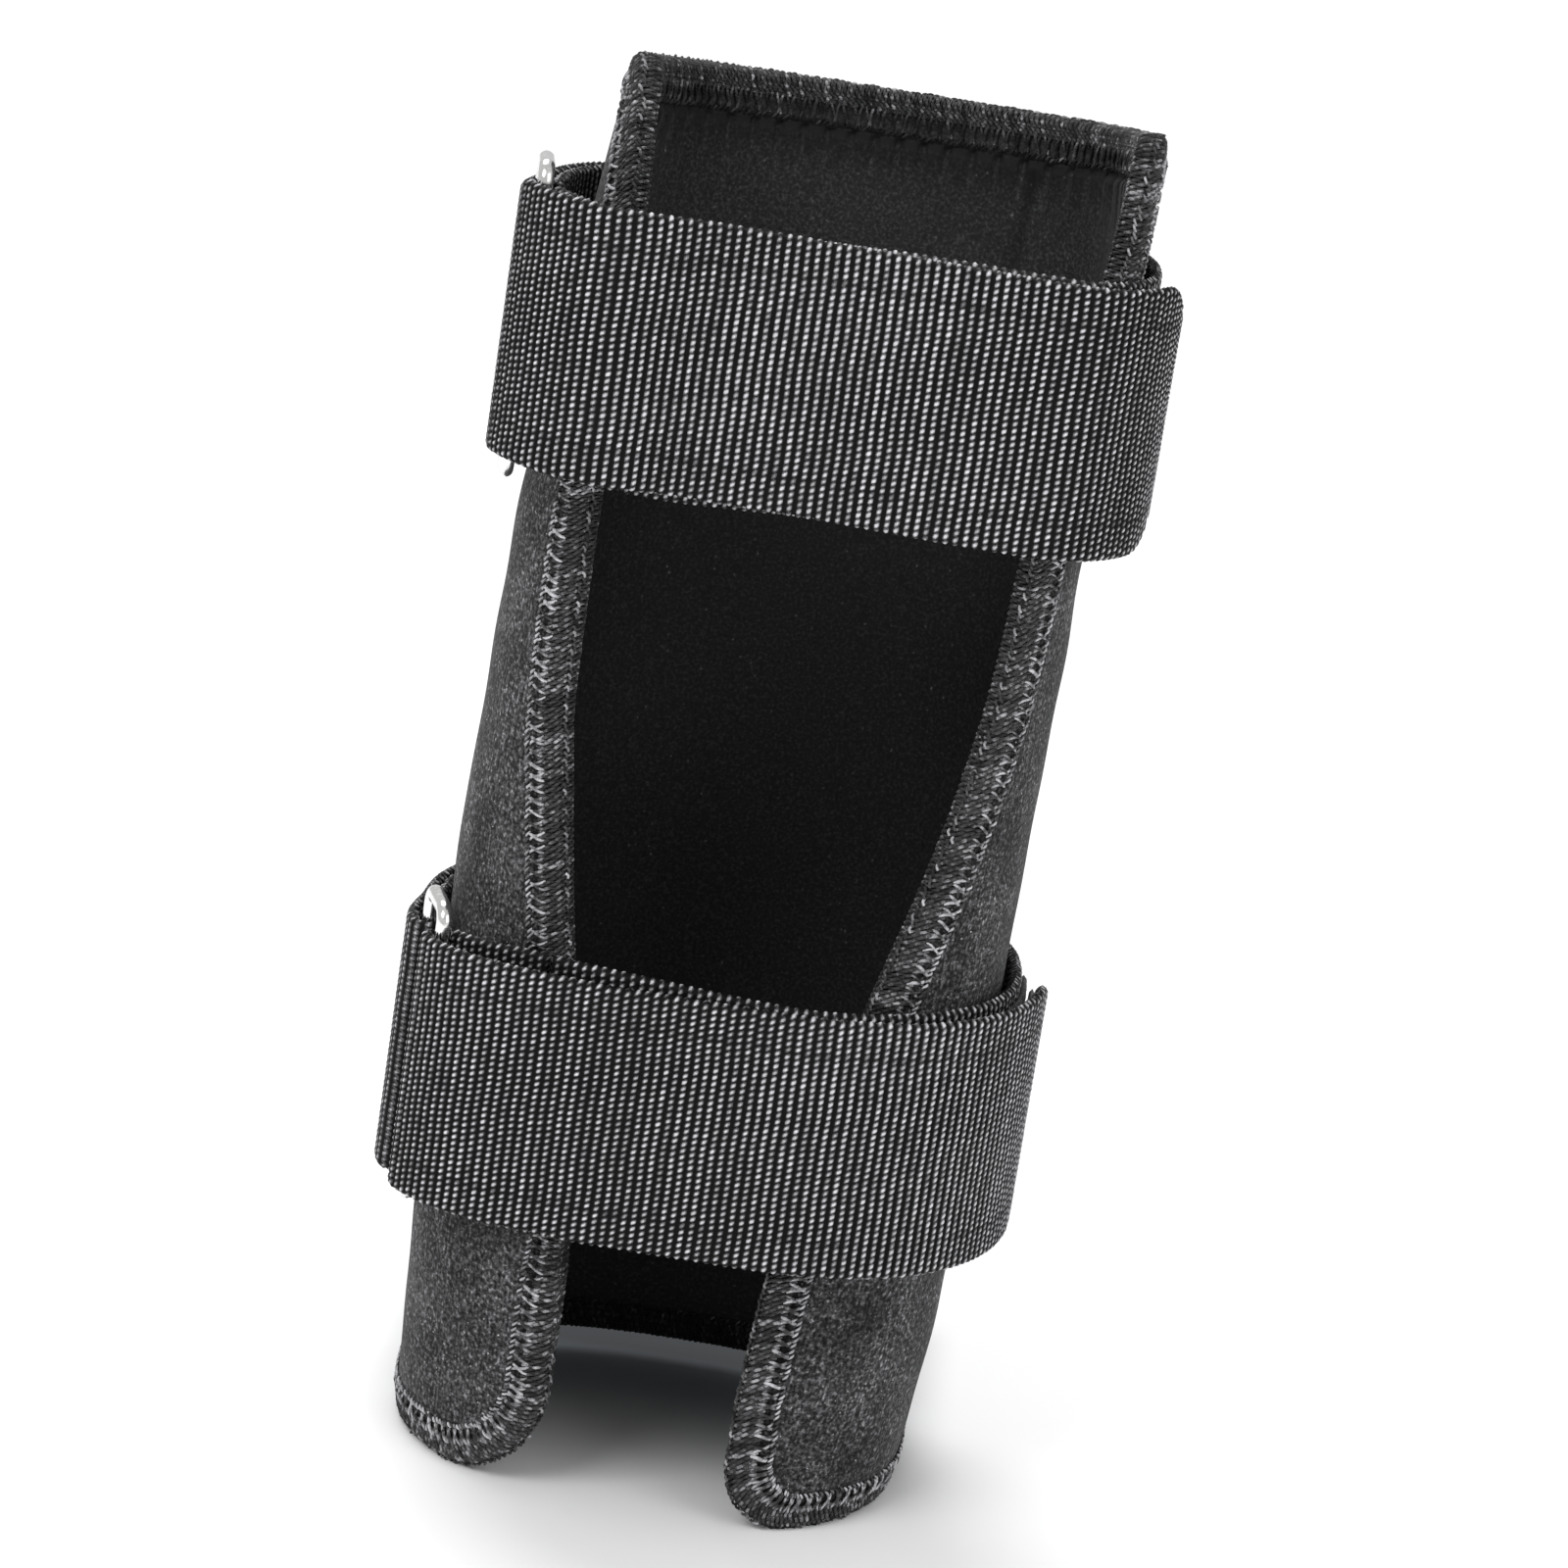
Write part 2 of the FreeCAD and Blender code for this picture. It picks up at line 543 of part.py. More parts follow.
box = FreeCAD.BoundBox()
for s in made.values():
    for p in s.tessellate(0.2)[0]:
        box.add(p)
print("ALL x %.2f..%.2f y %.2f..%.2f z %.2f..%.2f" % (box.XMin, box.XMax, box.YMin, box.YMax, box.ZMin, box.ZMax))
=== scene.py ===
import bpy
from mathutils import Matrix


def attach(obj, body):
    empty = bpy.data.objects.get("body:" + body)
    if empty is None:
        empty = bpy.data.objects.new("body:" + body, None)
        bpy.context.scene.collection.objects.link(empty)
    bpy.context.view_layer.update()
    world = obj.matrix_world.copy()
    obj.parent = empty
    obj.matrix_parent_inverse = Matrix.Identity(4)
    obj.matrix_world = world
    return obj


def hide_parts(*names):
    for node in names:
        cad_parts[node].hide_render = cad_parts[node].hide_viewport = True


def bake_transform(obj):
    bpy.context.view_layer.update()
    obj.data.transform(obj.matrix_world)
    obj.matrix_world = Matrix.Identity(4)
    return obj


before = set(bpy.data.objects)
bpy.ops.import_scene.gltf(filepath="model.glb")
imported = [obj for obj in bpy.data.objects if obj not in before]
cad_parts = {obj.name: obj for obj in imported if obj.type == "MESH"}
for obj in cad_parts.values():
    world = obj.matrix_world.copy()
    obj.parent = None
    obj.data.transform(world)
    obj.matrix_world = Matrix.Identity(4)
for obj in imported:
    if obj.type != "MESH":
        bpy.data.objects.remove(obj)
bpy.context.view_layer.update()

import math

import bpy
import numpy as np
from mathutils import Matrix, Vector

rng = np.random.default_rng(11)
DX, DY, DZ_UP = 0.985, 0.13, 3.43   # the CAD's shift of the sleeve's own frame, in mm
DROP, STAND = 3.5, 2.4
HALF_T, LINING_T = 2.1, 1.0
BACK_B, BACK_N, FRONT_N = 31.0, 2.6, 2.25
RIM_Z, RIM_SLOPE = 196.0, 0.11
BIND_T, BIND_CAP = 0.45, 0.8
WEB_W, WEB_T = 38.0, 1.9
WIRE_R, RING_C, BAR_GAP, CLEAR = 1.15, 10.5, 0.05, 0.35
UP_Z, LO_Z = 163.0, 57.0
LOOP_T, HOOK_T, END_LEN = 0.9, 0.9, 26.0
CORNER_L, CORNER_R, CORNER_T = 16.0, 10.0, 4.6
STAY_W, STAY_T, STAY_Z0, STAY_Z1 = 22.0, 1.8, 15.0, 172.0
POCKET_Z0, POCKET_Z1, POCKET_T = 7.6, 176.0, 1.1

LEFT_OUT = [(-10, 41.0), (0, 41.3), (25, 42.2), (60, 43.1), (80, 43.2), (115, 42.3), (140, 41.0), (165, 38.5), (183, 36.4), (196, 34.8), (215, 33.4)]
RIGHT_OUT = [(-10, 33.0), (0, 33.8), (25, 36.2), (60, 37.4), (85, 37.8), (115, 38.4), (140, 38.9), (165, 39.8), (183, 40.5), (196, 40.7), (215, 40.8)]
LEFT_LIP = [(-10, 17.2), (0, 17.2), (20, 17.3), (36, 17.0), (60, 20.0), (77, 23.2), (86, 24.8), (99, 26.9), (113, 28.8), (133, 29.2), (165, 29.4), (184, 29.8), (196, 30.8), (215, 31.0)]
RIGHT_LIP = [(-10, 9.0), (0, 9.0), (13, 9.0), (28, 9.9), (40, 11.2), (60, 14.5), (78, 19.2), (95, 24.0), (110, 27.4), (123, 29.4), (143, 30.8), (165, 33.6), (180, 36.2), (190, 37.4), (196, 37.9), (215, 38.0)]


# ---------------------------------------------------------------- the sleeve's surface
def table(rows, z):
    n = len(rows)
    if z <= rows[0][0]:
        return rows[0][1]
    if z >= rows[-1][0]:
        return rows[-1][1]
    d = [(rows[i + 1][1] - rows[i][1]) / (rows[i + 1][0] - rows[i][0]) for i in range(n - 1)]
    m = [d[0]] + [0.0 if d[i - 1] * d[i] <= 0 else 2 * d[i - 1] * d[i] / (d[i - 1] + d[i]) for i in range(1, n - 1)] + [d[-1]]
    for i in range(n - 1):
        z0, v0 = rows[i]
        z1, v1 = rows[i + 1]
        if z <= z1:
            h = z1 - z0
            t = (z - z0) / h
            return v0 * (1 + 2 * t) * (1 - t) ** 2 + m[i] * h * t * (1 - t) ** 2 + v1 * t * t * (3 - 2 * t) + m[i + 1] * h * t * t * (t - 1)


Z0, DZ, NZ = -9.0, 0.5, 431
S0, DS, NS = -98.0, 0.25, 785
ZG = Z0 + DZ * np.arange(NZ)
SG = S0 + DS * np.arange(NS)
GX, GY, SL_T, SR_T = np.zeros((NZ, NS)), np.zeros((NZ, NS)), np.zeros(NZ), np.zeros(NZ)
_a = np.linspace(-0.985 * math.pi, 0.985 * math.pi, 2401)
_mid = 1200
for _k, _z in enumerate(ZG):
    hl, hr = table(LEFT_OUT, _z) - HALF_T, table(RIGHT_OUT, _z) - HALF_T
    s_, c_ = np.sin(_a), np.cos(_a)
    p_ = np.where(c_ > 0, 2.0 / BACK_N, 2.0 / FRONT_N)
    x_ = np.where(_a > 0, hr, hl) * np.sign(s_) * np.abs(s_) ** p_
    y_ = BACK_B * np.sign(c_) * np.abs(c_) ** p_
    arc = np.concatenate([[0], np.cumsum(np.hypot(np.diff(x_), np.diff(y_)))])
    arc -= arc[_mid]
    GX[_k], GY[_k] = np.interp(SG, arc, x_), np.interp(SG, arc, y_)
    al = math.pi - math.asin(min(table(LEFT_LIP, _z) / hl, 0.9985) ** (FRONT_N / 2))
    ar = math.pi - math.asin(min(table(RIGHT_LIP, _z) / hr, 0.9985) ** (FRONT_N / 2))
    SL_T[_k], SR_T[_k] = -np.interp(-al, _a, arc), np.interp(ar, _a, arc)
_ts = np.stack([np.gradient(GX, DS, axis=1), np.gradient(GY, DS, axis=1), np.zeros_like(GX)], -1)
_tz = np.stack([np.gradient(GX, DZ, axis=0), np.gradient(GY, DZ, axis=0), np.ones_like(GX)], -1)
GN = np.cross(_tz, _ts)
GN /= np.linalg.norm(GN, axis=-1, keepdims=True)


def _bil(A, s, z):
    u = np.clip((np.asarray(s, float) - S0) / DS, 0, NS - 1.001)
    v = np.clip((np.asarray(z, float) - Z0) / DZ, 0, NZ - 1.001)
    i, j = u.astype(int), v.astype(int)
    fu, fv = u - i, v - j
    if A.ndim == 3:
        fu, fv = fu[..., None], fv[..., None]
    return (A[j, i] * (1 - fu) + A[j, i + 1] * fu) * (1 - fv) + (A[j + 1, i] * (1 - fu) + A[j + 1, i + 1] * fu) * fv


def surf(s, z, off):
    """Points of the sleeve in mm: s along the section from the middle of the back, z up, off outside the mid surface."""
    n = _bil(GN, s, z)
    p = np.stack([_bil(GX, s, z), _bil(GY, s, z), np.asarray(z, float) * np.ones_like(np.asarray(s, float))], -1)
    return p + np.asarray(off)[..., None] * n


def s_left(z):
    return np.interp(z, ZG, SL_T)


def s_right(z):
    return np.interp(z, ZG, SR_T)


def rim(s):
    return RIM_Z + RIM_SLOPE * (BACK_B - _bil(GY, s, np.full_like(np.asarray(s, float), 198.0)))


def low(s):
    """Height of the bottom edge: the front flaps reach lower than the back."""
    y = _bil(GY, s, np.full_like(np.asarray(s, float), 2.0))
    return -(DROP - 0.1) * smooth01((26.0 - y) / 34.0)


def smooth01(t):
    t = np.clip(t, 0.0, 1.0)
    return t * t * (3 - 2 * t)


def half_t(d):
    """Half thickness of the cut at distance d from its edge: the thread squeezes the foam."""
    return HALF_T - 0.42 * (1 - smooth01(np.asarray(d, float) / 6.5))


# ---------------------------------------------------------------- meshes and materials
def mesh(name, verts, quads, mat, uv=None, attrs=None, smooth=True):
    """Object from points in mm in the sleeve's own frame and an array of quads."""
    v = np.asarray(verts, float).reshape(-1, 3)
    v = (v + np.array([DX, DY, DZ_UP])) * 0.001
    q = np.asarray(quads, np.int32).reshape(-1, 4)
    me = bpy.data.meshes.new(name)
    me.vertices.add(len(v))
    me.vertices.foreach_set("co", v.astype(np.float32).ravel())
    me.loops.add(q.size)
    me.loops.foreach_set("vertex_index", q.ravel())
    me.polygons.add(len(q))
    me.polygons.foreach_set("loop_start", np.arange(0, q.size, 4, dtype=np.int32))
    me.update(calc_edges=True)
    me.polygons.foreach_set("use_smooth", np.full(len(q), smooth))
    if uv is not None:
        layer = me.uv_layers.new(name="UVMap")
        layer.data.foreach_set("uv", np.asarray(uv, np.float32).reshape(-1, 2)[q.ravel()].ravel())
    for key, val in (attrs or {}).items():
        a = me.attributes.new(key, "FLOAT", "POINT")
        a.data.foreach_set("value", np.asarray(val, np.float32).ravel())
    me.update()
    o = bpy.data.objects.new(name, me)
    bpy.context.scene.collection.objects.link(o)
    me.materials.append(mat)
    return o


def grid_quads(nu, nv, start=0, flip=False, wrap=False):
    """Quads of a grid stored as [u][v]."""
    iu = np.arange(nu if wrap else nu - 1)
    iv = np.arange(nv - 1)
    a, b = np.meshgrid(iu, iv, indexing="ij")
    p = start + a * nv + b
    q = start + ((a + 1) % nu) * nv + b
    f = np.stack([p, q, q + 1, p + 1], -1).reshape(-1, 4)
    return f[:, ::-1] if flip else f


def closed_sheet(A, B):
    """Two grids [u][v] facing each other, joined round their border. A is the outer one."""
    nu, nv = A.shape[:2]
    n = nu * nv
    quads = [grid_quads(nu, nv, 0, flip=True), grid_quads(nu, nv, n)]
    ids = np.arange(n).reshape(nu, nv)
    border = np.concatenate([ids[:, 0], ids[-1, 1:], ids[-2::-1, -1], ids[0, -2:0:-1]])
    nxt = np.roll(border, -1)
    quads.append(np.stack([border, nxt, nxt + n, border + n], -1)[:, ::-1])
    return np.concatenate([A.reshape(-1, 3), B.reshape(-1, 3)]), np.concatenate(quads)


def fix_normals(o):
    import bmesh
    bm = bmesh.new()
    bm.from_mesh(o.data)
    bmesh.ops.recalc_face_normals(bm, faces=bm.faces)
    bm.to_mesh(o.data)
    bm.free()
    return o


def tubes(paths, radii, sides=6, closed=False, caps=True):
    """Tubes along many paths at once: paths is (count, points, 3), radii a number or (count, points)."""
    P = np.asarray(paths, float)
    m, n = P.shape[:2]
    R = np.broadcast_to(np.asarray(radii, float), (m, n)) if np.ndim(radii) else np.full((m, n), float(radii))
    if closed:
        T = np.roll(P, -1, 1) - np.roll(P, 1, 1)
    else:
        T = np.gradient(P, axis=1)
    T /= np.maximum(np.linalg.norm(T, axis=-1, keepdims=True), 1e-12)
    ref = np.zeros((m, 3))
    ref[:, 2] = 1.0
    bad = np.abs(T[:, 0, 2]) > 0.9
    ref[bad] = (1.0, 0, 0)
    U = np.zeros_like(P)
    u = ref - (ref * T[:, 0]).sum(-1, keepdims=True) * T[:, 0]
    u /= np.linalg.norm(u, axis=-1, keepdims=True)
    U[:, 0] = u
    for i in range(1, n):
        u = u - (u * T[:, i]).sum(-1, keepdims=True) * T[:, i]
        u /= np.maximum(np.linalg.norm(u, axis=-1, keepdims=True), 1e-12)
        U[:, i] = u
    W = np.cross(T, U)
    ang = np.arange(sides) * 2 * math.pi / sides
    ring = P[:, :, None, :] + R[:, :, None, None] * (np.cos(ang)[:, None] * U[:, :, None, :] + np.sin(ang)[:, None] * W[:, :, None, :])
    V = ring.reshape(-1, 3)
    base = (np.arange(m) * n * sides)[:, None, None]
    i = np.arange(n if closed else n - 1)[None, :, None]
    j = np.arange(sides)[None, None, :]
    a = base + i * sides + j
    b = base + i * sides + (j + 1) % sides
    c = base + ((i + 1) % n) * sides + (j + 1) % sides
    d = base + ((i + 1) % n) * sides + j
    Q = np.stack(np.broadcast_arrays(a, b, c, d), -1).reshape(-1, 4)
    if caps and not closed and sides % 2 == 0:
        for end in (0, n - 1):
            e = (np.arange(m) * n * sides + end * sides)[:, None]
            for k in range(sides // 2 - 1):
                cap = np.concatenate([e + k, e + k + 1, e + sides - 2 - k, e + sides - 1 - k], 1)
                Q = np.concatenate([Q, cap if end else cap[:, ::-1]])
    if caps and not closed and sides == 5:
        for end in (0, n - 1):
            e = (np.arange(m) * n * sides + end * sides)[:, None]
            cap = np.concatenate([e, e + 1, e + 2, e + 3], 1)
            Q = np.concatenate([Q, cap if end else cap[:, ::-1]])
    return V, Q


class Mat:
    """A node material: a Principled shader with helpers for its noise, weave and bump."""

    def __init__(self, name, base, rough, metal=0.0, sheen=0.0, sheen_rough=0.4, spec=0.5):
        self.m = bpy.data.materials.new(name)
        self.m.use_nodes = True
        self.t = self.m.node_tree
        self.b = self.t.nodes["Principled BSDF"]
        self.b.inputs["Base Color"].default_value = (*base, 1)
        self.b.inputs["Roughness"].default_value = rough
        self.b.inputs["Metallic"].default_value = metal
        self.b.inputs["Sheen Weight"].default_value = sheen
        self.b.inputs["Sheen Roughness"].default_value = sheen_rough
        self.b.inputs["Specular IOR Level"].default_value = spec
        self.co = self.node("ShaderNodeTexCoord").outputs["Object"]
        self.normal = None

    def node(self, kind, **props):
        n = self.t.nodes.new(kind)
        for k, v in props.items():
            setattr(n, k, v)
        return n

    def put(self, socket, value):
        if hasattr(value, "is_linked") or hasattr(value, "links"):
            self.t.links.new(value, socket)
        else:
            socket.default_value = value

    def noise(self, size_mm, detail=3.0, rough=0.55, co=None, stretch=None):
        co = co or self.co
        if stretch:
            mp = self.node("ShaderNodeMapping")
            self.t.links.new(co, mp.inputs["Vector"])
            mp.inputs["Scale"].default_value = stretch
            co = mp.outputs["Vector"]
        n = self.node("ShaderNodeTexNoise")
        self.t.links.new(co, n.inputs["Vector"])
        n.inputs["Scale"].default_value = 1000.0 / size_mm
        n.inputs["Detail"].default_value = detail
        n.inputs["Roughness"].default_value = rough
        return n.outputs["Fac"]

    def attr(self, name):
        return self.node("ShaderNodeAttribute", attribute_name=name).outputs["Fac"]

    def uv(self):
        return self.node("ShaderNodeUVMap", uv_map="UVMap").outputs["UV"]

    def ramp(self, fac, stops):
        r = self.node("ShaderNodeValToRGB")
        self.t.links.new(fac, r.inputs["Fac"])
        el = r.color_ramp.elements
        while len(el) < len(stops):
            el.new(0.5)
        for e, (p, c) in zip(el, stops):
            e.position = p
            e.color = (*c, 1) if len(c) == 3 else c
        return r.outputs["Color"]

    def math(self, op, a, b=0.0, clamp=False):
        n = self.node("ShaderNodeMath", operation=op)
        n.use_clamp = clamp
        self.put(n.inputs[0], a)
        self.put(n.inputs[1], b)
        return n.outputs[0]

    def mix(self, fac, a, b, kind="MIX"):
        n = self.node("ShaderNodeMix", data_type="RGBA", blend_type=kind)
        self.put(n.inputs["Factor"], fac)
        self.put(n.inputs["A"], a if not isinstance(a, tuple) else (*a, 1))
        self.put(n.inputs["B"], b if not isinstance(b, tuple) else (*b, 1))
        return n.outputs["Result"]

    def map(self, v, a, b, c, d):
        n = self.node("ShaderNodeMapRange")
        self.put(n.inputs["Value"], v)
        for k, x in zip(("From Min", "From Max", "To Min", "To Max"), (a, b, c, d)):
            n.inputs[k].default_value = x
        return n.outputs["Result"]

    def color(self, c):
        self.t.links.new(c, self.b.inputs["Base Color"])

    def rough(self, r):
        self.t.links.new(r, self.b.inputs["Roughness"])

    def bump(self, h, strength, dist_mm):
        n = self.node("ShaderNodeBump")
        self.t.links.new(h, n.inputs["Height"])
        n.inputs["Strength"].default_value = strength
        n.inputs["Distance"].default_value = dist_mm * 0.001
        if self.normal is not None:
            self.t.links.new(self.normal, n.inputs["Normal"])
        self.normal = n.outputs["Normal"]
        self.t.links.new(self.normal, self.b.inputs["Normal"])


def g(v):
    return (v, v, v * 1.04)


def make_materials():
    M = {}
    # knit face of the foam neoprene
    m = Mat("neoprene", g(0.06), 0.88, sheen=0.05, sheen_rough=0.5, spec=0.16)
    uv = m.uv()
    sep = m.node("ShaderNodeSeparateXYZ")
    m.t.links.new(uv, sep.inputs[0])
    course = m.math("SINE", m.math("MULTIPLY", sep.outputs[0], 2 * math.pi / 0.00062))
    wale = m.math("SINE", m.math("MULTIPLY", sep.outputs[1], 2 * math.pi / 0.00055))
    knit = m.math("ADD", m.math("MULTIPLY", course, 0.6), m.math("MULTIPLY", wale, 0.25))
    mott = m.noise(0.62, 4, 0.62)
    big = m.noise(9.0, 3, 0.5)
    tone = m.math("ADD", m.math("MULTIPLY", mott, 0.80), m.math("MULTIPLY", big, 0.20))
    c = m.ramp(tone, [(0.37, g(0.003)), (0.48, g(0.026)), (0.58, g(0.095)), (0.67, g(0.32))])
    k2 = m.map(knit, -0.85, 0.85, 0.72, 1.22)
    # painted shade: the foam darkens towards the cut edge, under the overlock threads
    edge_shade = m.map(m.attr("edge"), 0.45, 0.85, 0.22, 1.0)
    k2 = m.math("MULTIPLY", k2, edge_shade)
    cc = m.node("ShaderNodeCombineColor")
    for s in range(3):
        m.t.links.new(k2, cc.inputs[s])
    c = m.mix(1.0, c, cc.outputs[0], "MULTIPLY")
    speck = m.ramp(m.noise(0.46, 1, 0.3), [(0.765, (0, 0, 0)), (0.79, (1, 1, 1))])
    c = m.mix(m.math("MULTIPLY", speck, 0.8), c, g(0.60))
    m.color(c)
    m.bump(knit, 0.35, 0.06)
    m.bump(mott, 0.7, 0.14)
    M["neoprene"] = m.m

    m = Mat("lining", g(0.016), 0.75, sheen=0.06, spec=0.3)
    n = m.noise(0.5, 4, 0.6)
    c = m.ramp(n, [(0.34, g(0.0035)), (0.52, g(0.010)), (0.70, g(0.030))])
    cc = m.node("ShaderNodeCombineColor")
    k2 = m.map(m.attr("shade"), 0.0, 2.2, 0.08, 2.2)
    for s in range(3):
        m.t.links.new(k2, cc.inputs[s])
    c = m.mix(1.0, c, cc.outputs[0], "MULTIPLY")
    speck = m.ramp(m.noise(0.50, 1, 0.3), [(0.80, (0, 0, 0)), (0.82, (1, 1, 1))])
    m.color(m.mix(m.math("MULTIPLY", speck, 0.35), c, g(0.35)))
    m.bump(n, 0.35, 0.05)
    m.bump(m.noise(6.0, 3, 0.5), 0.25, 0.4)
    M["lining"] = m.m

    def thread(name, dark, mid, light, tw=0.55):
        m = Mat(name, g(mid), 0.72, sheen=0.04, spec=0.25)
        uv = m.uv()
        sep = m.node("ShaderNodeSeparateXYZ")
        m.t.links.new(uv, sep.inputs[0])
        ply = m.math("SINE", m.math("ADD", m.math("MULTIPLY", sep.outputs[0], 2 * math.pi / (0.001 * tw)), m.math("MULTIPLY", sep.outputs[1], 2 * math.pi * 2)))
        f = m.noise(0.16, 3, 0.6)
        tone = m.math("ADD", m.math("MULTIPLY", f, 0.45), m.math("MULTIPLY", m.attr("tone"), 0.55))
        c = m.ramp(tone, [(0.25, g(dark)), (0.5, g(mid)), (0.78, g(light))])
        m.color(c)
        m.bump(ply, 0.5, 0.10)
        m.bump(f, 0.4, 0.05)
        return m.m

    M["thread"] = thread("overlock_thread", 0.004, 0.060, 0.62)
    M["stitch"] = thread("sewing_thread", 0.02, 0.05, 0.12, 0.4)

    def web(name, gap, low, crown_highlight):
        m = Mat(name, g(low), 0.72, sheen=0.0, spec=0.16)
        h = m.attr("h")
        f = m.noise(0.20, 3, 0.65)
        fine = m.noise(1.6, 2, 0.5)
        v = m.math("ADD", h, m.math("MULTIPLY", m.math("SUBTRACT", f, 0.5), 0.35))
        # painted highlight on the beads' crowns and painted shade in the gaps: the colour follows the rib height h
        c = m.ramp(v, [(0.22, g(gap)), (0.50, g(low)), (0.73, g(crown_highlight * 0.20)), (0.93, g(crown_highlight))])
        k = m.map(fine, 0.3, 0.7, 0.82, 1.18)
        cc = m.node("ShaderNodeCombineColor")
        for s in range(3):
            m.t.links.new(k, cc.inputs[s])
        m.color(m.mix(1.0, c, cc.outputs[0], "MULTIPLY"))
        m.bump(f, 0.6, 0.08)
        return m.m

    M["webbing"] = web("webbing", 0.0015, 0.008, 0.60)

    m = Mat("pocket_cloth", g(0.04), 0.82, sheen=0.08, spec=0.3)
    w1 = m.node("ShaderNodeTexWave", wave_type="BANDS", bands_direction="X")
    w2 = m.node("ShaderNodeTexWave", wave_type="BANDS", bands_direction="Z")
    for w in (w1, w2):
        m.t.links.new(m.co, w.inputs["Vector"])
        w.inputs["Scale"].default_value = 2 * math.pi / (20 * 0.00075)
        w.inputs["Distortion"].default_value = 0.3
    wv = m.math("MULTIPLY", w1.outputs["Fac"], w2.outputs["Fac"])
    n = m.noise(0.8, 4, 0.6)
    m.color(m.ramp(m.math("ADD", m.math("MULTIPLY", wv, 0.5), m.math("MULTIPLY", n, 0.5)), [(0.2, g(0.018)), (0.75, g(0.062))]))
    m.bump(wv, 0.5, 0.10)
    m.bump(m.noise(5.0, 3, 0.5), 0.3, 0.5)
    M["pocket"] = m.m

    m = Mat("loop_pile", g(0.028), 0.95, sheen=0.35, sheen_rough=0.35, spec=0.2)
    n = m.noise(0.5, 5, 0.75)
    m.color(m.ramp(n, [(0.3, g(0.012)), (0.75, g(0.06))]))
    m.bump(n, 0.9, 0.4)
    M["loop"] = m.m

    m = Mat("hook_tape", g(0.03), 0.5, spec=0.5)
    n = m.noise(0.4, 3, 0.6)
    m.color(m.ramp(n, [(0.3, g(0.016)), (0.75, g(0.045))]))
    m.bump(n, 0.6, 0.2)
    M["hook"] = m.m

    m = Mat("stay_plastic", g(0.035), 0.45, spec=0.5)
    n = m.noise(0.7, 4, 0.6)
    m.color(m.ramp(m.noise(14.0, 3, 0.5), [(0.3, g(0.028)), (0.7, g(0.045))]))
    m.rough(m.map(n, 0.3, 0.7, 0.38, 0.56))
    m.bump(n, 0.25, 0.05)
    M["stay"] = m.m

    m = Mat("ring_wire", (0.80, 0.80, 0.79), 0.16, metal=1.0)
    n = m.noise(1.2, 4, 0.6)
    m.rough(m.map(n, 0.3, 0.75, 0.10, 0.26))
    m.color(m.ramp(m.noise(0.6, 3, 0.6), [(0.3, (0.70, 0.70, 0.69)), (0.6, (0.86, 0.86, 0.85))]))
    m.bump(m.noise(0.5, 3, 0.6), 0.10, 0.05)
    M["wire"] = m.m

    m = Mat("floor", (0.93, 0.93, 0.935), 0.9, spec=0.2)
    white = m.ramp(m.noise(300.0, 2, 0.5), [(0.3, (0.925, 0.925, 0.93)), (0.7, (0.94, 0.94, 0.945))])
    sp = m.node("ShaderNodeSeparateXYZ")
    m.t.links.new(m.co, sp.inputs[0])
    # soft contact shade on the floor inside and close behind the sleeve
    deep = m.node("ShaderNodeMapRange", interpolation_type="SMOOTHSTEP")
    m.t.links.new(sp.outputs[1], deep.inputs["Value"])
    deep.inputs["From Min"].default_value, deep.inputs["From Max"].default_value = -0.026, 0.026
    wide = m.node("ShaderNodeMapRange", interpolation_type="SMOOTHSTEP")
    m.t.links.new(m.math("ABSOLUTE", m.math("ADD", sp.outputs[0], 0.002)), wide.inputs["Value"])
    wide.inputs["From Min"].default_value, wide.inputs["From Max"].default_value = 0.046, 0.026
    far = m.node("ShaderNodeMapRange", interpolation_type="SMOOTHSTEP")
    m.t.links.new(sp.outputs[1], far.inputs["Value"])
    far.inputs["From Min"].default_value, far.inputs["From Max"].default_value = 0.068, 0.054
    k = m.math("MULTIPLY", m.math("MULTIPLY", deep.outputs["Result"], wide.outputs["Result"]), far.outputs["Result"])
    under = m.node("ShaderNodeMapRange", interpolation_type="SMOOTHSTEP")
    m.t.links.new(sp.outputs[1], under.inputs["Value"])
    under.inputs["From Min"].default_value, under.inputs["From Max"].default_value = 0.024, 0.034
    shade = m.mix(under.outputs["Result"], (0.085, 0.100, 0.115), (0.022, 0.027, 0.032))
    m.color(m.mix(m.math("MULTIPLY", k, 0.96), white, shade))
    M["floor"] = m.m
    return M


M = make_materials()


# ---------------------------------------------------------------- shell and lining
def lumps(s, z, amp, size, seed):
    """Smooth seeded undulation over the sheet, in mm."""
    r = np.random.default_rng(seed)
    out = np.zeros(np.broadcast(s, z).shape)
    for _ in range(7):
        k = r.uniform(0.6, 1.6) * 2 * math.pi / size
        th = r.uniform(0, 2 * math.pi)
        out += np.sin(k * (np.cos(th) * s + np.sin(th) * z) + r.uniform(0, 6.28))
    return amp * out / 3.0


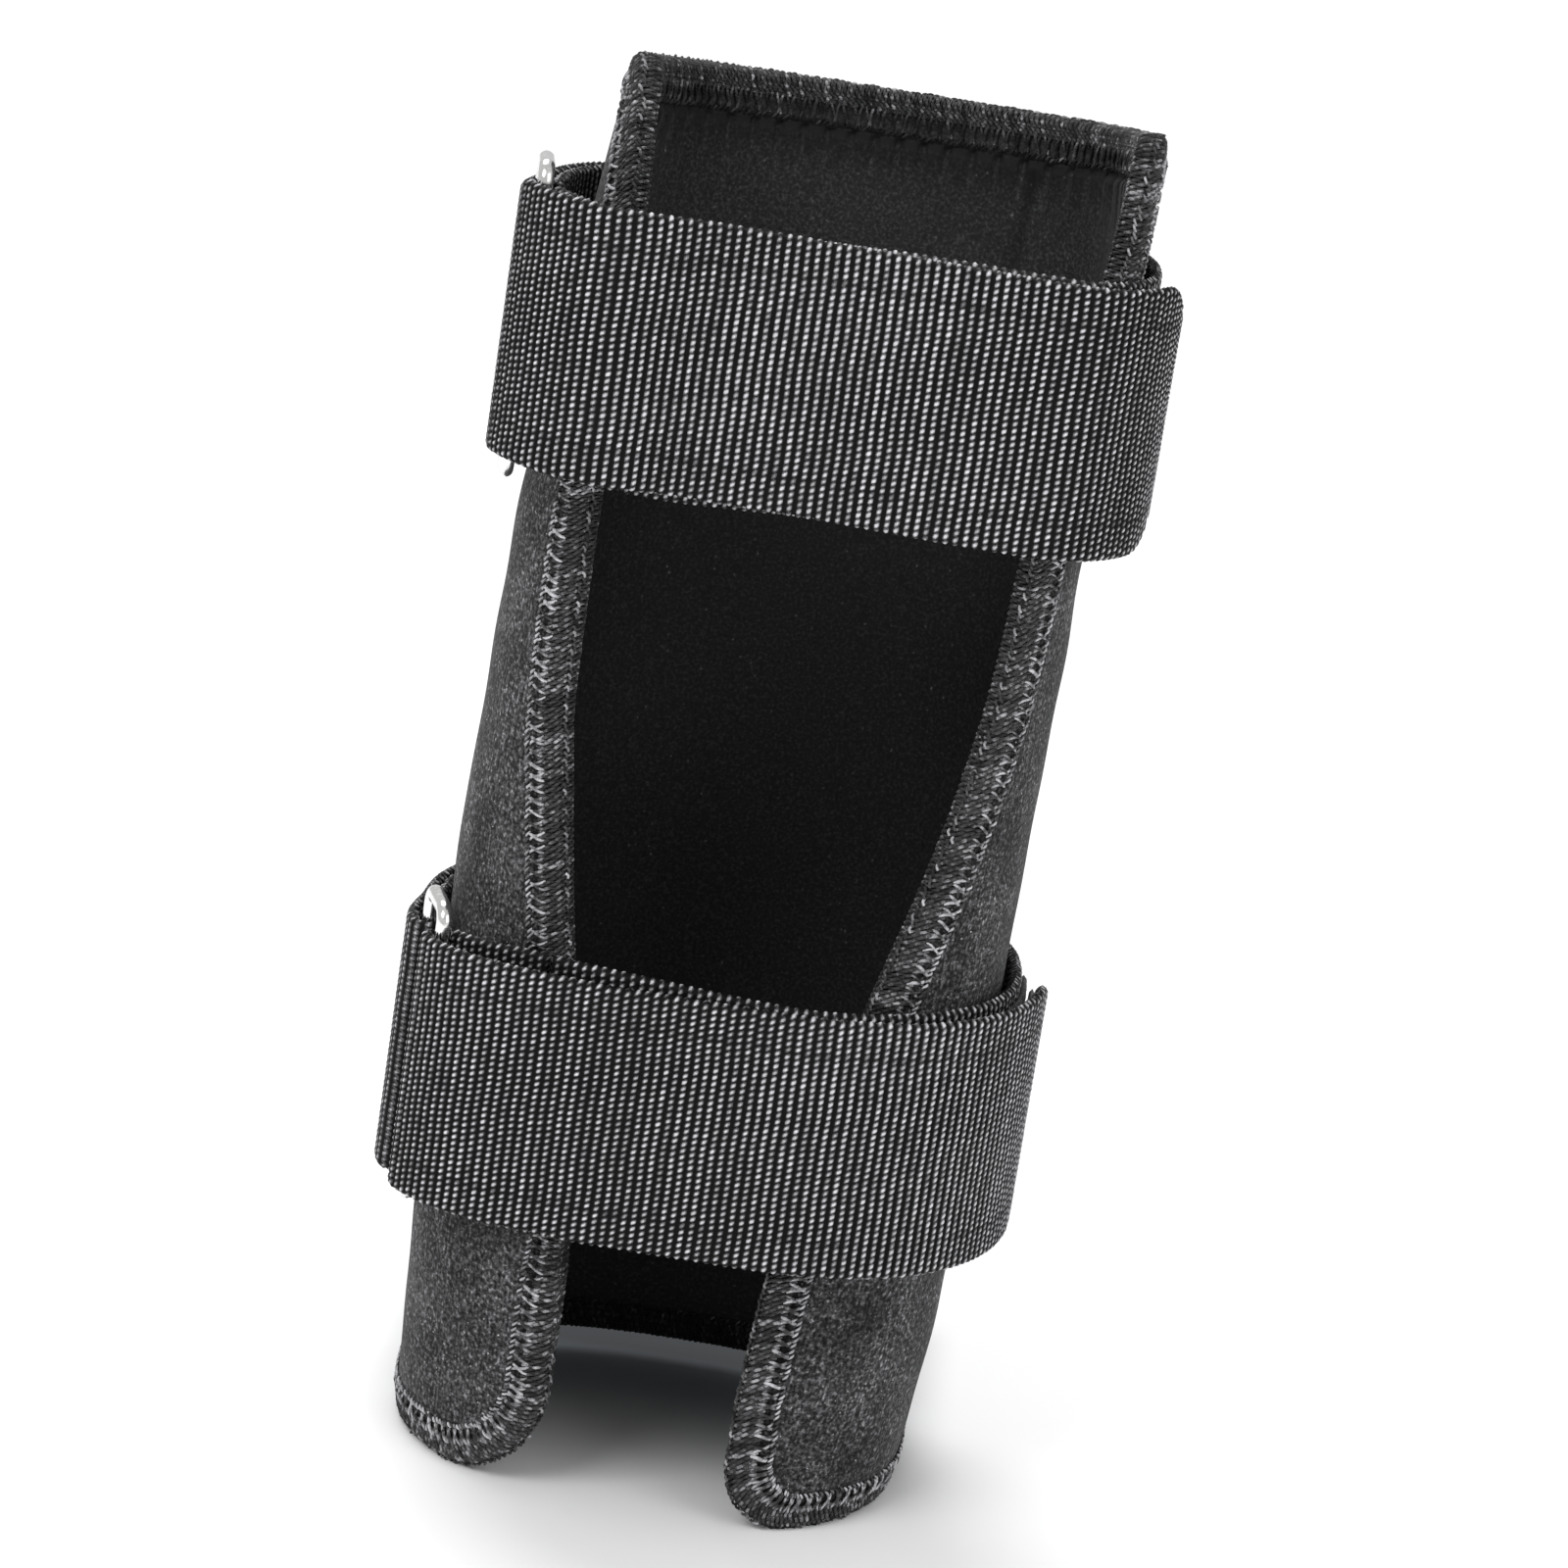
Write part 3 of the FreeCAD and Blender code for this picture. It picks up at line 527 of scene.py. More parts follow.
def sheet_grid(nu, z_rows, inset):
    """(s, z, d) over the cut, d being the distance in from the nearest edge. Rows lean with the rim above and the bottom edge below."""
    G = np.linspace(0, 1, nu)[:, None]
    zr = np.asarray(z_rows)[None, :]
    z = np.broadcast_to(zr, (nu, zr.shape[1])).copy()
    for _ in range(4):
        sl, sr = s_left(z), s_right(z)
        s_c = -sl + G * (sl + sr)
        top, bot = rim(s_c), low(s_c)
        z = zr + (top - RIM_Z) * np.clip((zr - 110) / 86, 0, 1) ** 2 + bot * np.clip((46 - zr) / 46, 0, 1) ** 1.5
    sl, sr = s_left(z), s_right(z)
    dt, db = top - inset - z, z - bot - inset

    def corner(r, d):
        r = r - inset
        q = np.clip(r - d, 0, r)
        return r - np.sqrt(np.maximum(r * r - q * q, 0))

    il = inset + corner(CORNER_L, db) + corner(CORNER_T, dt)
    ir = inset + corner(CORNER_R, db) + corner(CORNER_T, dt)
    s = (-sl + il) + G * (sl + sr - il - ir)
    dl, dr = s - (-sl + il), (sr - ir) - s
    d = np.minimum(np.minimum(dl, dr), np.minimum(dt, db))
    return s, z, np.maximum(d, 0)


def rows_z(inset, step):
    lo = inset + 16 * (1 - np.cos(np.linspace(0, math.pi / 2, 22)))
    mid = np.arange(lo[-1] + step, RIM_Z - 9, step)
    hi = RIM_Z - inset - 8 * (1 - np.sin(np.linspace(0, math.pi / 2, 14)))
    return np.concatenate([lo, mid, hi])


def edge_round(d, t_full, r):
    """Offset that comes down over a rounded edge of radius r."""
    q = np.clip(r - d, 0, r)
    return t_full - (r - np.sqrt(np.maximum(r * r - q * q, 0)))


def build_shell():
    zr = rows_z(BIND_CAP, 1.3)
    s, z, d = sheet_grid(290, zr, BIND_CAP)
    soft = smooth01((d - 2) / 14)
    t = edge_round(d, half_t(d), 1.1) + soft * lumps(s, z, 0.16, 26, 3)
    A = surf(s, z, t)
    B = surf(s, z, np.full_like(s, -HALF_T + LINING_T) + 0.25 * (1 - smooth01(d / 3)))
    V, Q = closed_sheet(A, B)
    uv = np.stack([s, z], -1) * 0.001
    uv = np.concatenate([uv.reshape(-1, 2), uv.reshape(-1, 2)])
    ed = np.clip(d / 7.0, 0, 1).reshape(-1)
    o = mesh("shell_foam", V, Q, M["neoprene"], uv, {"edge": np.concatenate([ed, ed])})
    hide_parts("shell")
    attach(o, "sleeve")
    return o


PUCKER = 3.9        # spacing of the puckers under the top seam


def build_lining():
    zr = rows_z(BIND_CAP, 1.7)
    zr = np.concatenate([zr[zr < 176], np.arange(176, 195.2, 0.5)])
    s, z, d = sheet_grid(310, zr, BIND_CAP)
    top = rim(s)
    below = top - 7.0 - z           # distance under the top seam
    ph = 2 * math.pi * (s / PUCKER + 0.25 * np.sin(s / 9.0))
    tooth = np.maximum(np.cos(ph), 0) ** 3
    side = smooth01((s_left(z) + s - 6) / 6) * smooth01((s_right(z) - s - 6) / 6)
    wr = np.where(below > 0, np.exp(-(np.maximum(below, 0) / 4.2) ** 1.6), 0)
    fade = 0.55 + 0.45 * np.sin(s / 7.0 + 1.0) ** 2
    dent = side * wr * (1.5 * tooth * fade - 0.55)
    seam = side * np.exp(-(below / 0.55) ** 2)
    dent = dent + 0.45 * seam
    crease = np.exp(-((s - 24.0 - (z - 178) * 0.10) / 0.9) ** 2) * smooth01((z - 158) / 12) * smooth01((192 - z) / 8)
    dent = dent + 0.32 * crease
    # painted shade in the puckers' troughs, under the seam, in the crease and towards the cut edges; the next line adds
    # painted light that grows towards the open top
    shade = np.clip(1 - 0.85 * seam - 0.80 * side * wr * (1 - tooth * fade) - 0.5 * crease, 0, 1) * np.clip(0.25 + d / 7.0, 0, 1)
    shade = shade * (1 + 1.1 * smooth01((z - 140) / 35))
    t = -edge_round(d, half_t(d), 1.0) + smooth01((d - 2) / 14) * lumps(s, z, 0.15, 32, 8) + dent
    A = surf(s, z, np.full_like(s, -HALF_T + LINING_T) + 0.25 * (1 - smooth01(d / 3)) - 0.02)
    B = surf(s, z, np.minimum(t, -HALF_T + LINING_T - 0.2))
    V, Q = closed_sheet(A, B)
    uv = np.stack([s, z], -1) * 0.001
    uv = np.concatenate([uv.reshape(-1, 2), uv.reshape(-1, 2)])
    o = mesh("lining_cloth", V, Q, M["lining"], uv, {"shade": np.concatenate([shade.ravel(), shade.ravel()])})
    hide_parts("lining")
    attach(o, "sleeve")
    return o


# ---------------------------------------------------------------- overlock
def boundary():
    """The cut's outline in (s, z), counter-clockwise seen from outside, with its parts' names."""
    pts, tag = [], []

    def add(p, t):
        pts.append(p)
        tag.append(t)

    zl, zr_ = float(low(-s_left(0.0))), float(low(s_right(0.0)))
    for s in np.linspace(-s_left(zl) + CORNER_L, s_right(zr_) - CORNER_R, 160):
        add((s, float(low(s))), 0)
    for a in np.linspace(0, math.pi / 2, 20)[1:-1]:
        zz = zr_ + CORNER_R * (1 - math.cos(a))
        add((s_right(zz) - CORNER_R * (1 - math.sin(a)), zz), 0 if zz < 5 else 1)
    zt = float(rim(s_right(198.0)))
    for z in np.linspace(zr_ + CORNER_R, zt - CORNER_T, 220):
        add((s_right(z), z), 1 if z > 5 else 0)
    for a in np.linspace(0, math.pi / 2, 10)[1:-1]:
        zz = zt - CORNER_T * (1 - math.sin(a))
        add((s_right(zz) - CORNER_T * (1 - math.cos(a)), zz), 2)
    for s in np.linspace(s_right(zt) - CORNER_T, -s_left(zt) + CORNER_T, 160):
        add((s, float(rim(s))), 2)
    zt = float(rim(-s_left(198.0)))
    for a in np.linspace(0, math.pi / 2, 10)[1:-1]:
        zz = zt - CORNER_T * (1 - math.cos(a))
        add((-s_left(zz) + CORNER_T * (1 - math.sin(a)), zz), 2)
    for z in np.linspace(zt - CORNER_T, zl + CORNER_L, 220):
        add((-s_left(z), z), 3)
    for a in np.linspace(0, math.pi / 2, 28)[1:-1]:
        zz = zl + CORNER_L * (1 - math.sin(a))
        add((-s_left(zz) + CORNER_L * (1 - math.cos(a)), zz), 0 if zz < 5 else 3)
    p = np.array(pts)
    p = np.concatenate([p, p[:1]])
    seg = np.hypot(*np.diff(p, axis=0).T)
    acc = np.concatenate([[0], np.cumsum(seg)])
    return p, acc, np.array(tag + [tag[0]])


B_PTS, B_ACC, B_TAG = boundary()
B_LEN = B_ACC[-1]
PITCH = B_LEN / round(B_LEN / 0.86)


def edge_at(e):
    e = np.mod(e, B_LEN)
    s, z = np.interp(e, B_ACC, B_PTS[:, 0]), np.interp(e, B_ACC, B_PTS[:, 1])
    w = 1.2
    s1, z1 = np.interp(np.mod(e + w, B_LEN), B_ACC, B_PTS[:, 0]), np.interp(np.mod(e + w, B_LEN), B_ACC, B_PTS[:, 1])
    s0, z0 = np.interp(np.mod(e - w, B_LEN), B_ACC, B_PTS[:, 0]), np.interp(np.mod(e - w, B_LEN), B_ACC, B_PTS[:, 1])
    t = np.stack([s1 - s0, z1 - z0], -1)
    t /= np.linalg.norm(t, axis=-1, keepdims=True)
    return s, z, np.stack([-t[..., 1], t[..., 0]], -1)


def edge_tag(e):
    return B_TAG[np.clip(np.searchsorted(B_ACC, np.mod(e, B_LEN)), 0, len(B_TAG) - 1)]


def edge_surf(e, d, off):
    """Point at distance e along the outline, d in from it."""
    s, z, n = edge_at(e)
    return surf(s + d * n[..., 0], z + d * n[..., 1], off)


RC = 1.5


def wrap_profile(w_out, w_in, lift, n_out=7, n_arc=9, n_in=7):
    """(d, off) of thread lying on the outer face, over the cut edge and down the inner face."""
    q = []
    for d in np.linspace(w_out, RC, n_out):
        q.append((d, float(half_t(d)) + lift))
    for a in np.linspace(0, math.pi, n_arc + 2)[1:-1]:
        h = float(half_t(RC)) + lift
        q.append((RC - (RC + lift - 0.45) * math.sin(a) ** 0.8, h * math.cos(a)))
    for d in np.linspace(RC, w_in, n_in):
        q.append((d, -float(half_t(d)) - lift))
    return np.array(q)


BODY_PARTS = {0: ("bottom", "bottom_binding"), 1: ("right_lip", "right_lip_binding"), 2: ("top", "top_binding"), 3: ("left_lip", "left_lip_binding")}


def build_overlock():
    count = int(round(B_LEN / PITCH))
    e0 = np.arange(count) * PITCH
    tags = edge_tag(e0)

    def block(E, D, O, R, tone, sides=6):
        P = edge_surf(E, D, O)
        V, Q = tubes(P, R, sides)
        m_, n_ = E.shape
        run = np.concatenate([np.zeros((m_, 1)), np.cumsum(np.linalg.norm(np.diff(P, axis=1), axis=-1), 1)], 1) * 0.001
        uv = np.stack([np.repeat(run.reshape(-1), sides), np.tile(np.arange(sides) / sides, m_ * n_)], -1)
        return V, Q, uv, np.repeat(np.clip(np.broadcast_to(tone, (m_, n_)), 0, 1).reshape(-1), sides)

    for t, (nm, node) in BODY_PARTS.items():
        sel = tags == t
        e = e0[sel]
        m = len(e)
        w_out, w_in = 5.6, (6.0 if t == 2 else 5.0)
        blocks = []
        # painted shade: the thread along the back's bottom edge, in the shade between the flaps, is darkened in its
        # tone
        sx, zx, _ = edge_at(e)
        back_edge_shade = (0.34 * smooth01((_bil(GY, sx, zx) + 2.0) / 16.0) if t == 0 else np.zeros(m))[:, None]
        wide = 3.3 if t == 2 else 5.0
        prof = wrap_profile(3.9, wide, 0.10, 6, 9, 7)
        n = len(prof)
        k = np.linspace(0, 1, n)
        slant = 0.55 * smooth01(1 - k / 0.5) - 0.35 * np.sin(np.clip((k - 0.25) / 0.5, 0, 1) * math.pi) - 1.0 * smooth01((k - 0.62) / 0.38)
        # two fine wraps for each stitch, plaited over and under each other
        for half in (0.0, 0.5):
            ph = rng.uniform(0, 0.9, (m, 1)) + (math.pi if half else 0.0)
            wave = np.sin(2 * math.pi * 5.5 * k[None, :] + ph)
            E = e[:, None] + half * PITCH + slant[None, :] + rng.normal(0, 0.04, (m, 1)) + 0.10 * np.cos(2 * math.pi * 5.5 * k[None, :] + ph)
            D = np.broadcast_to(prof[:, 0], (m, n)) * 1.0
            O = np.broadcast_to(prof[:, 1], (m, n)) + (rng.normal(0, 0.03, (m, 1)) + 0.09 * wave) * np.sign(prof[:, 1])[None, :]
            R = 0.225 * (1 + rng.normal(0, 0.08, (m, 1))) * (1 + 0.14 * wave)
            tone = ((0.25 if t == 2 else 0.33) + 0.20 * wave + rng.normal(0, 0.13, (m, 1)) + rng.normal(0, 0.09, (m, n)) - back_edge_shade)
            blocks.append(block(E, D, O, R, tone, 5))
        # slanting cover threads on the outer and the inner face, with a needle hole at each one's foot
        for sg, a, b, sl, tn in ((1, 2.9, w_out, 1.25, 0.62), (-1, 2.8, w_in, -1.0, 0.40)):
            kk = np.linspace(0, 1, 8)
            odd = (np.arange(m) % 2)[:, None]
            E = e[:, None] + sl * (kk - 0.2)[None, :] * (1 - 1.7 * odd) + 0.12 * np.sin(kk * 2 * math.pi)[None, :] + rng.normal(0, 0.07, (m, 1))
            D = a + (b - a) * kk[None, :] + rng.normal(0, 0.20, (m, 1)) * kk[None, :] ** 2
            if t == 2 and sg < 0:
                near = (np.mod(E, 4.3) - 2.15) / 0.62
                hole = np.exp(-near ** 2 - ((D - 4.3) / 0.55) ** 2)
                tn = 0.22
            else:
                hole = np.exp(-((D - b) / 0.35) ** 2) * 0.6
            O = sg * (half_t(D) + 0.17 + (0.14 + 0.10 * odd) * np.sin(kk * math.pi)[None, :] ** 0.6 - 0.30 * hole)
            R = 0.24 * (0.55 + 0.45 * np.sin(np.clip(kk * 0.9 + 0.05, 0, 1) * math.pi))[None, :] * (1 + rng.normal(0, 0.14, (m, 1)))
            tone = tn + 0.16 * np.sin(kk * 3 * math.pi)[None, :] + rng.normal(0, 0.17, (m, 1)) + rng.normal(0, 0.08, E.shape)
            blocks.append(block(E, D, O, R, tone * (1 - 0.95 * hole) - back_edge_shade, 5))
            # loop that locks each stitch along the seam line
            lk = np.linspace(-0.5, 0.5, 6)
            E = e[:, None] + sl * 0.85 + lk[None, :] * 0.80 + rng.normal(0, 0.05, (m, 1))
            D = b + 0.10 + 0.30 * np.sin(lk * math.pi)[None, :] + rng.normal(0, 0.10, (m, 1))
            O = sg * (half_t(D) + 0.12 + 0.20 * np.cos(lk * math.pi)[None, :])
            R = 0.19 * np.sqrt(np.clip(1.02 - (2 * lk) ** 2 * 0.7, 0.05, 1))[None, :] * np.ones((m, 1))
            tone = rng.normal(0.72 if sg > 0 else (0.10 if t == 2 else 0.45), 0.20, (m, 1)) * np.ones((m, 6))
            blocks.append(block(E, D, O, R, tone - back_edge_shade, 5))
        # loose loops that stand at the very edge
        lk = np.linspace(0, 1, 7)
        E = e[:, None] + (lk - 0.5)[None, :] * 0.8 + rng.normal(0, 0.08, (m, 1))
        D = (0.34 if t == 2 else 0.20) - (0.14 if t == 2 else 0.26) * np.sin(lk * math.pi)[None, :] + rng.normal(0, 0.05, (m, 1))
        O = 1.1 - 0.5 * lk[None, :] + rng.normal(0, 0.25, (m, 1))
        blocks.append(block(E, D + 0 * O, O, 0.20 * np.ones((m, 7)), rng.normal(0.45, 0.20, (m, 1)) * np.ones((m, 7)) - back_edge_shade, 5))
        Vs, Qs, Us, Ts, base = [], [], [], [], 0
        for V, Q, U, T in blocks:
            Vs.append(V)
            Qs.append(Q + base)
            Us.append(U)
            Ts.append(T)
            base += len(V)
        o = mesh(nm + "_overlock", np.concatenate(Vs), np.concatenate(Qs), M["thread"], np.concatenate(Us), {"tone": np.concatenate(Ts)})
        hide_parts(node)
        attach(o, "sleeve")


# ---------------------------------------------------------------- straps
def mid_point(z, a):
    half = (table(RIGHT_OUT, z) if a > 0 else table(LEFT_OUT, z)) - HALF_T
    s, c = math.sin(a), math.cos(a)
    p = 2.0 / (BACK_N if c > 0 else FRONT_N)
    return half * math.copysign(abs(s) ** p, s), BACK_B * math.copysign(abs(c) ** p, c)


def lip_angle(z, side):
    half = (table(RIGHT_OUT, z) if side > 0 else table(LEFT_OUT, z)) - HALF_T
    lip = table(RIGHT_LIP, z) if side > 0 else table(LEFT_LIP, z)
    u = min(lip / half, 0.9985) ** (FRONT_N / 2.0)
    return side * (math.pi - math.asin(u))


def resample(pts, count):
    p = np.asarray(pts, float)
    acc = np.concatenate([[0], np.cumsum(np.hypot(*np.diff(p, axis=0).T))])
    t = acc[-1] * np.arange(count + 1) / count
    return np.stack([np.interp(t, acc, p[:, 0]), np.interp(t, acc, p[:, 1])], -1)


def section(z, off, ext, count):
    a0, a1 = lip_angle(z, -1), lip_angle(z, 1)
    dense = resample([mid_point(z, a0 + (a1 - a0) * i / 700.0) for i in range(701)], count)
    d = np.empty_like(dense)
    d[1:-1] = dense[2:] - dense[:-2]
    d[0], d[-1] = dense[1] - dense[0], dense[-1] - dense[-2]
    d /= np.linalg.norm(d, axis=1, keepdims=True)
    nrm = np.stack([-d[:, 1], d[:, 0]], -1)
    pts = dense + off * nrm
    pts = np.concatenate([[pts[0] - ext * d[0]], pts, [pts[-1] + ext * d[-1]]])
    return resample(pts, count)


def hull(points):
    pts = sorted(set((round(float(x), 5), round(float(y), 5)) for x, y in points))

    def half(seq):
        out = []
        for p in seq:
            while len(out) > 1 and (out[-1][0] - out[-2][0]) * (p[1] - out[-2][1]) - (out[-1][1] - out[-2][1]) * (p[0] - out[-2][0]) <= 0:
                out.pop()
            out.append(p)
        return out[:-1]

    return half(pts) + half(list(reversed(pts)))


class Track:
    def __init__(self, z0, z1):
        pts = np.concatenate([section(z0 + (z1 - z0) * i / 6.0, HALF_T + BIND_T, BIND_CAP, 120) for i in range(7)])
        h = hull(pts)
        loop = resample(h + [h[0]], 720)[:-1]
        for _ in range(60):
            loop = 0.25 * np.roll(loop, 1, 0) + 0.5 * loop + 0.25 * np.roll(loop, -1, 0)
        loop = resample(np.concatenate([loop, loop[:1]]), 720)[:-1]
        k = min(range(len(loop)), key=lambda i: abs(loop[i][0]) + (1000 if loop[i][1] < 0 else 0))
        loop = np.concatenate([loop[k:], loop[:k]])
        self.p = np.concatenate([loop[:1], loop[1:][::-1], loop[:1]])
        self.acc = np.concatenate([[0], np.cumsum(np.hypot(*np.diff(self.p, axis=0).T))])
        self.len = self.acc[-1]

    def base(self, s):
        s = np.mod(s, self.len)
        return np.stack([np.interp(s, self.acc, self.p[:, 0]), np.interp(s, self.acc, self.p[:, 1])], -1)

    def normal(self, s):
        d = self.base(np.asarray(s) + 1.2) - self.base(np.asarray(s) - 1.2)
        d /= np.linalg.norm(d, axis=-1, keepdims=True)
        return np.stack([-d[..., 1], d[..., 0]], -1)

    def at(self, s, d):
        return self.base(s) + np.asarray(d)[..., None] * self.normal(s) if np.ndim(s) else self.base(s) + d * self.normal(s)

    def find(self, test):
        s = 0.0
        while s < self.len:
            x, y = self.base(s)
            if test(x, y):
                return s
            s += 0.1
        raise ValueError


def turn(c, r, a, b, through, n=40):
    a0, a1, am = (math.atan2(p[1] - c[1], p[0] - c[0]) for p in (a, b, through))
    up = (a1 - a0) % (2 * math.pi)
    if (am - a0) % (2 * math.pi) > up:
        up -= 2 * math.pi
    t = a0 + up * np.linspace(0, 1, n)
    return np.stack([c[0] + r * np.cos(t), c[1] + r * np.sin(t)], -1)


RIB, BEAD = 1.36, 0.96      # rib spacing along the strap, bead spacing along a rib


def rib_height(s, w, width, seed=0.0):
    """0 to 1: ribs across the strap made of beads, with a fine groove inside each selvage."""
    edge = width / 2 - np.abs(w)
    wob = 0.035 * np.sin(w / 3.1 + seed) + 0.02 * np.sin(w / 1.3 + s / 5.0 + seed)
    a = s / RIB + wob
    k = np.floor(a + 0.5)
    u = a - k
    v = w / BEAD + 0.5 * np.mod(k, 2) + 0.62 * u + 0.16 * np.sin(k * 2.3 + seed)
    v = v - np.floor(v + 0.5)
    rib = np.sqrt(np.clip(1 - (u / 0.40) ** 2, 0, 1))
    bead = np.clip(1 - (np.abs(v) / 0.5) ** 2, 0, 1)
    low_b = 0.38 + 0.13 * np.sin(s / 17.0 + seed) + 0.05 * np.sin(w / 6.0 + s / 9.0)
    h = rib * (low_b + (1 - low_b) * bead)
    groove = np.exp(-((edge - 5.2) / 0.30) ** 2)
    kb = np.floor(w / BEAD + 0.5 * np.mod(k, 2) + 0.5)
    dot = np.mod(np.sin(k * 12.9898 + kb * 78.233 + seed) * 43758.5453, 1.0)
    row = np.mod(np.sin(k * 4.137 + seed) * 917.31, 1.0)
    return h * (1 - 0.14 * groove) * (0.86 + 0.11 * dot + 0.07 * row)


def webbing(name, path, seam, zc, body, res_s=RIB / 5, res_w=BEAD / 4, tilt=0.0, seed=0.0, width=WEB_W, s_phase=0.0, flip=1, pivot=-42.0, rise=0.0, drop=0.0, corner=0.0):
    """A length of ribbed webbing whose mid line in plan is path; seam gives each end a heat cut edge."""
    p = np.asarray(path, float)
    acc = np.concatenate([[0], np.cumsum(np.hypot(*np.diff(p, axis=0).T))])
    ns = max(4, int(round(acc[-1] / res_s)))
    t = np.linspace(0, acc[-1], ns + 1)
    c = np.stack([np.interp(t, acc, p[:, 0]), np.interp(t, acc, p[:, 1])], -1)
    for _ in range(3):
        c[1:-1] = 0.25 * c[:-2] + 0.5 * c[1:-1] + 0.25 * c[2:]
    d = np.gradient(c, axis=0)
    d /= np.linalg.norm(d, axis=1, keepdims=True)
    nr = np.stack([-d[:, 1], d[:, 0]], -1) * flip
    nw = int(round(width / res_w))
    w = np.linspace(-width / 2, width / 2, nw + 1)
    S, W = np.meshgrid(t + s_phase, w, indexing="ij")
    h = rib_height(S, W, width, seed)
    hb = rib_height(S + RIB / 2, W, width, seed + 1.7)
    edge = width / 2 - np.abs(W)
    q = np.clip(0.9 - edge, 0, 0.9)
    rnd = np.sqrt(np.maximum(0.81 - q * q, 0)) / 0.9
    end = np.minimum(t - t[0], t[-1] - t)[:, None]
    eq = np.clip(0.5 - end, 0, 0.5) / 0.5
    ernd = np.sqrt(np.maximum(1 - eq * eq, 0.09)) if seam else 1.0
    half_o = (0.56 + 0.42 * h) * rnd * ernd
    half_i = (0.56 + 0.34 * hb) * rnd * ernd
    scal = 0.16 * np.cos(2 * math.pi * S / RIB) * np.clip(1 - edge / 1.2, 0, 1) * np.sign(W)
    up = tilt * (c[:, 0] - pivot) + rise * np.exp(-((c[:, 0] + 21.0) / 19.0) ** 2) * (c[:, 1] < 0)
    if corner:
        q0 = np.clip(corner - (t - t[0]), 0, corner)
        W = W * (1 - (corner - np.sqrt(corner * corner - q0 * q0))[:, None] / (width / 2))
    Zc = zc + W + scal + up[:, None] - drop
    A = np.stack([c[:, 0][:, None] + nr[:, 0][:, None] * half_o, c[:, 1][:, None] + nr[:, 1][:, None] * half_o, Zc], -1)
    B = np.stack([c[:, 0][:, None] - nr[:, 0][:, None] * half_i, c[:, 1][:, None] - nr[:, 1][:, None] * half_i, Zc], -1)
    V, Q = closed_sheet(A, B)
    o = mesh(name, V, Q, M["webbing"], attrs={"h": np.concatenate([h.ravel(), hb.ravel()])})
    fix_normals(o)
    if body:
        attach(o, body)
    return o


def strip(tr, s0, s1, d, t, z0, z1, name, mat, body, tilt=0.0, res=0.4, rough=0.0, seed=1):
    """A thin patch lying on a track."""
    s = np.linspace(s0, s1, max(3, int((s1 - s0) / res)))
    w = np.linspace(z0, z1, max(3, int((z1 - z0) / res)))
    r = np.random.default_rng(seed)
    jig = r.normal(0, rough, (len(s), len(w))) if rough else np.zeros((len(s), len(w)))
    dist = np.minimum(np.minimum(s - s[0], s[-1] - s)[:, None], np.minimum(w - w[0], w[-1] - w)[None, :])
    rnd = np.sqrt(np.maximum(1 - np.clip(1 - dist / 0.7, 0, 1) ** 2, 0.04))
    n = tr.normal(s)
    b = tr.base(s)
    dd = d(s) if callable(d) else np.full(len(s), d)
    out = []
    for sg in (1, -1):
        o = dd[:, None] + sg * t / 2 * rnd + (jig if sg > 0 else 0)
        P = b[:, None, :] + o[..., None] * n[:, None, :]
        zz = np.broadcast_to(w[None, :], P.shape[:2]) + tilt * (P[..., 0] + 42.0)
        out.append(np.concatenate([P, zz[..., None]], -1))
    V, Q = closed_sheet(out[0], out[1])
    o = mesh(name, V, Q, mat)
    fix_normals(o)
    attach(o, body)
    return o


def dashes(points, step, gap, r, lift_fn=None):
    """Runs of short stitches along a 3-D polyline, seven points to each; stitch_obj makes each dive at its ends."""
    p = np.asarray(points, float)
    acc = np.concatenate([[0], np.cumsum(np.linalg.norm(np.diff(p, axis=0), axis=1))])
    n = max(1, int(acc[-1] // (step + gap)))
    k = np.linspace(0, 1, 7)
    st = (np.arange(n) * (step + gap))[:, None] + k[None, :] * step
    return np.stack([np.interp(st, acc, p[:, i]) for i in range(3)], -1)


def stitch_obj(name, runs, normals_, mat, body, r=0.22, step=2.3, gap=0.45):
    Vs, Qs, Us, Ts, base = [], [], [], [], 0
    for p, nn in zip(runs, normals_):
        D = dashes(p, step, gap, r)
        NN = dashes(nn, step, gap, r) if np.ndim(nn) == 2 else np.broadcast_to(nn, D.shape)
        k = np.linspace(0, 1, 7)
        lift = (0.22 * np.sin(math.pi * k) ** 0.5 - 0.12)[None, :, None]
        D = D + lift * NN
        V, Q = tubes(D, r, 6)
        Vs.append(V)
        Qs.append(Q + base)
        base += len(V)
        Us.append(np.stack([np.tile(np.repeat(k * step, 6), len(D)) * 0.001, np.tile(np.arange(6) / 6, len(D) * 7)], -1))
        Ts.append(np.repeat(np.clip(rng.normal(0.5, 0.15, len(D)), 0, 1), 42))
    o = mesh(name, np.concatenate(Vs), np.concatenate(Qs), mat, np.concatenate(Us), {"tone": np.concatenate(Ts)})
    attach(o, body)
    return o


def frame_runs(tr, sa, sb, d, lo, hi, tilt):
    """Box stitch with a cross, on a strap's face."""
    def line(s_a, z_a, s_b, z_b):
        n = 40
        s = np.linspace(s_a, s_b, n)
        P = tr.at(s, np.full(n, d))
        z = np.linspace(z_a, z_b, n) + tilt * (P[:, 0] + 42.0)
        N = np.concatenate([tr.normal(s), np.zeros((n, 1))], 1)
        return np.concatenate([P, z[:, None]], 1), N
    L = [line(sa, lo, sb, lo), line(sb, lo, sb, hi), line(sb, hi, sa, hi), line(sa, hi, sa, lo), line(sa, lo, sb, hi), line(sa, hi, sb, lo)]
    return [a for a, _ in L], [b for _, b in L]


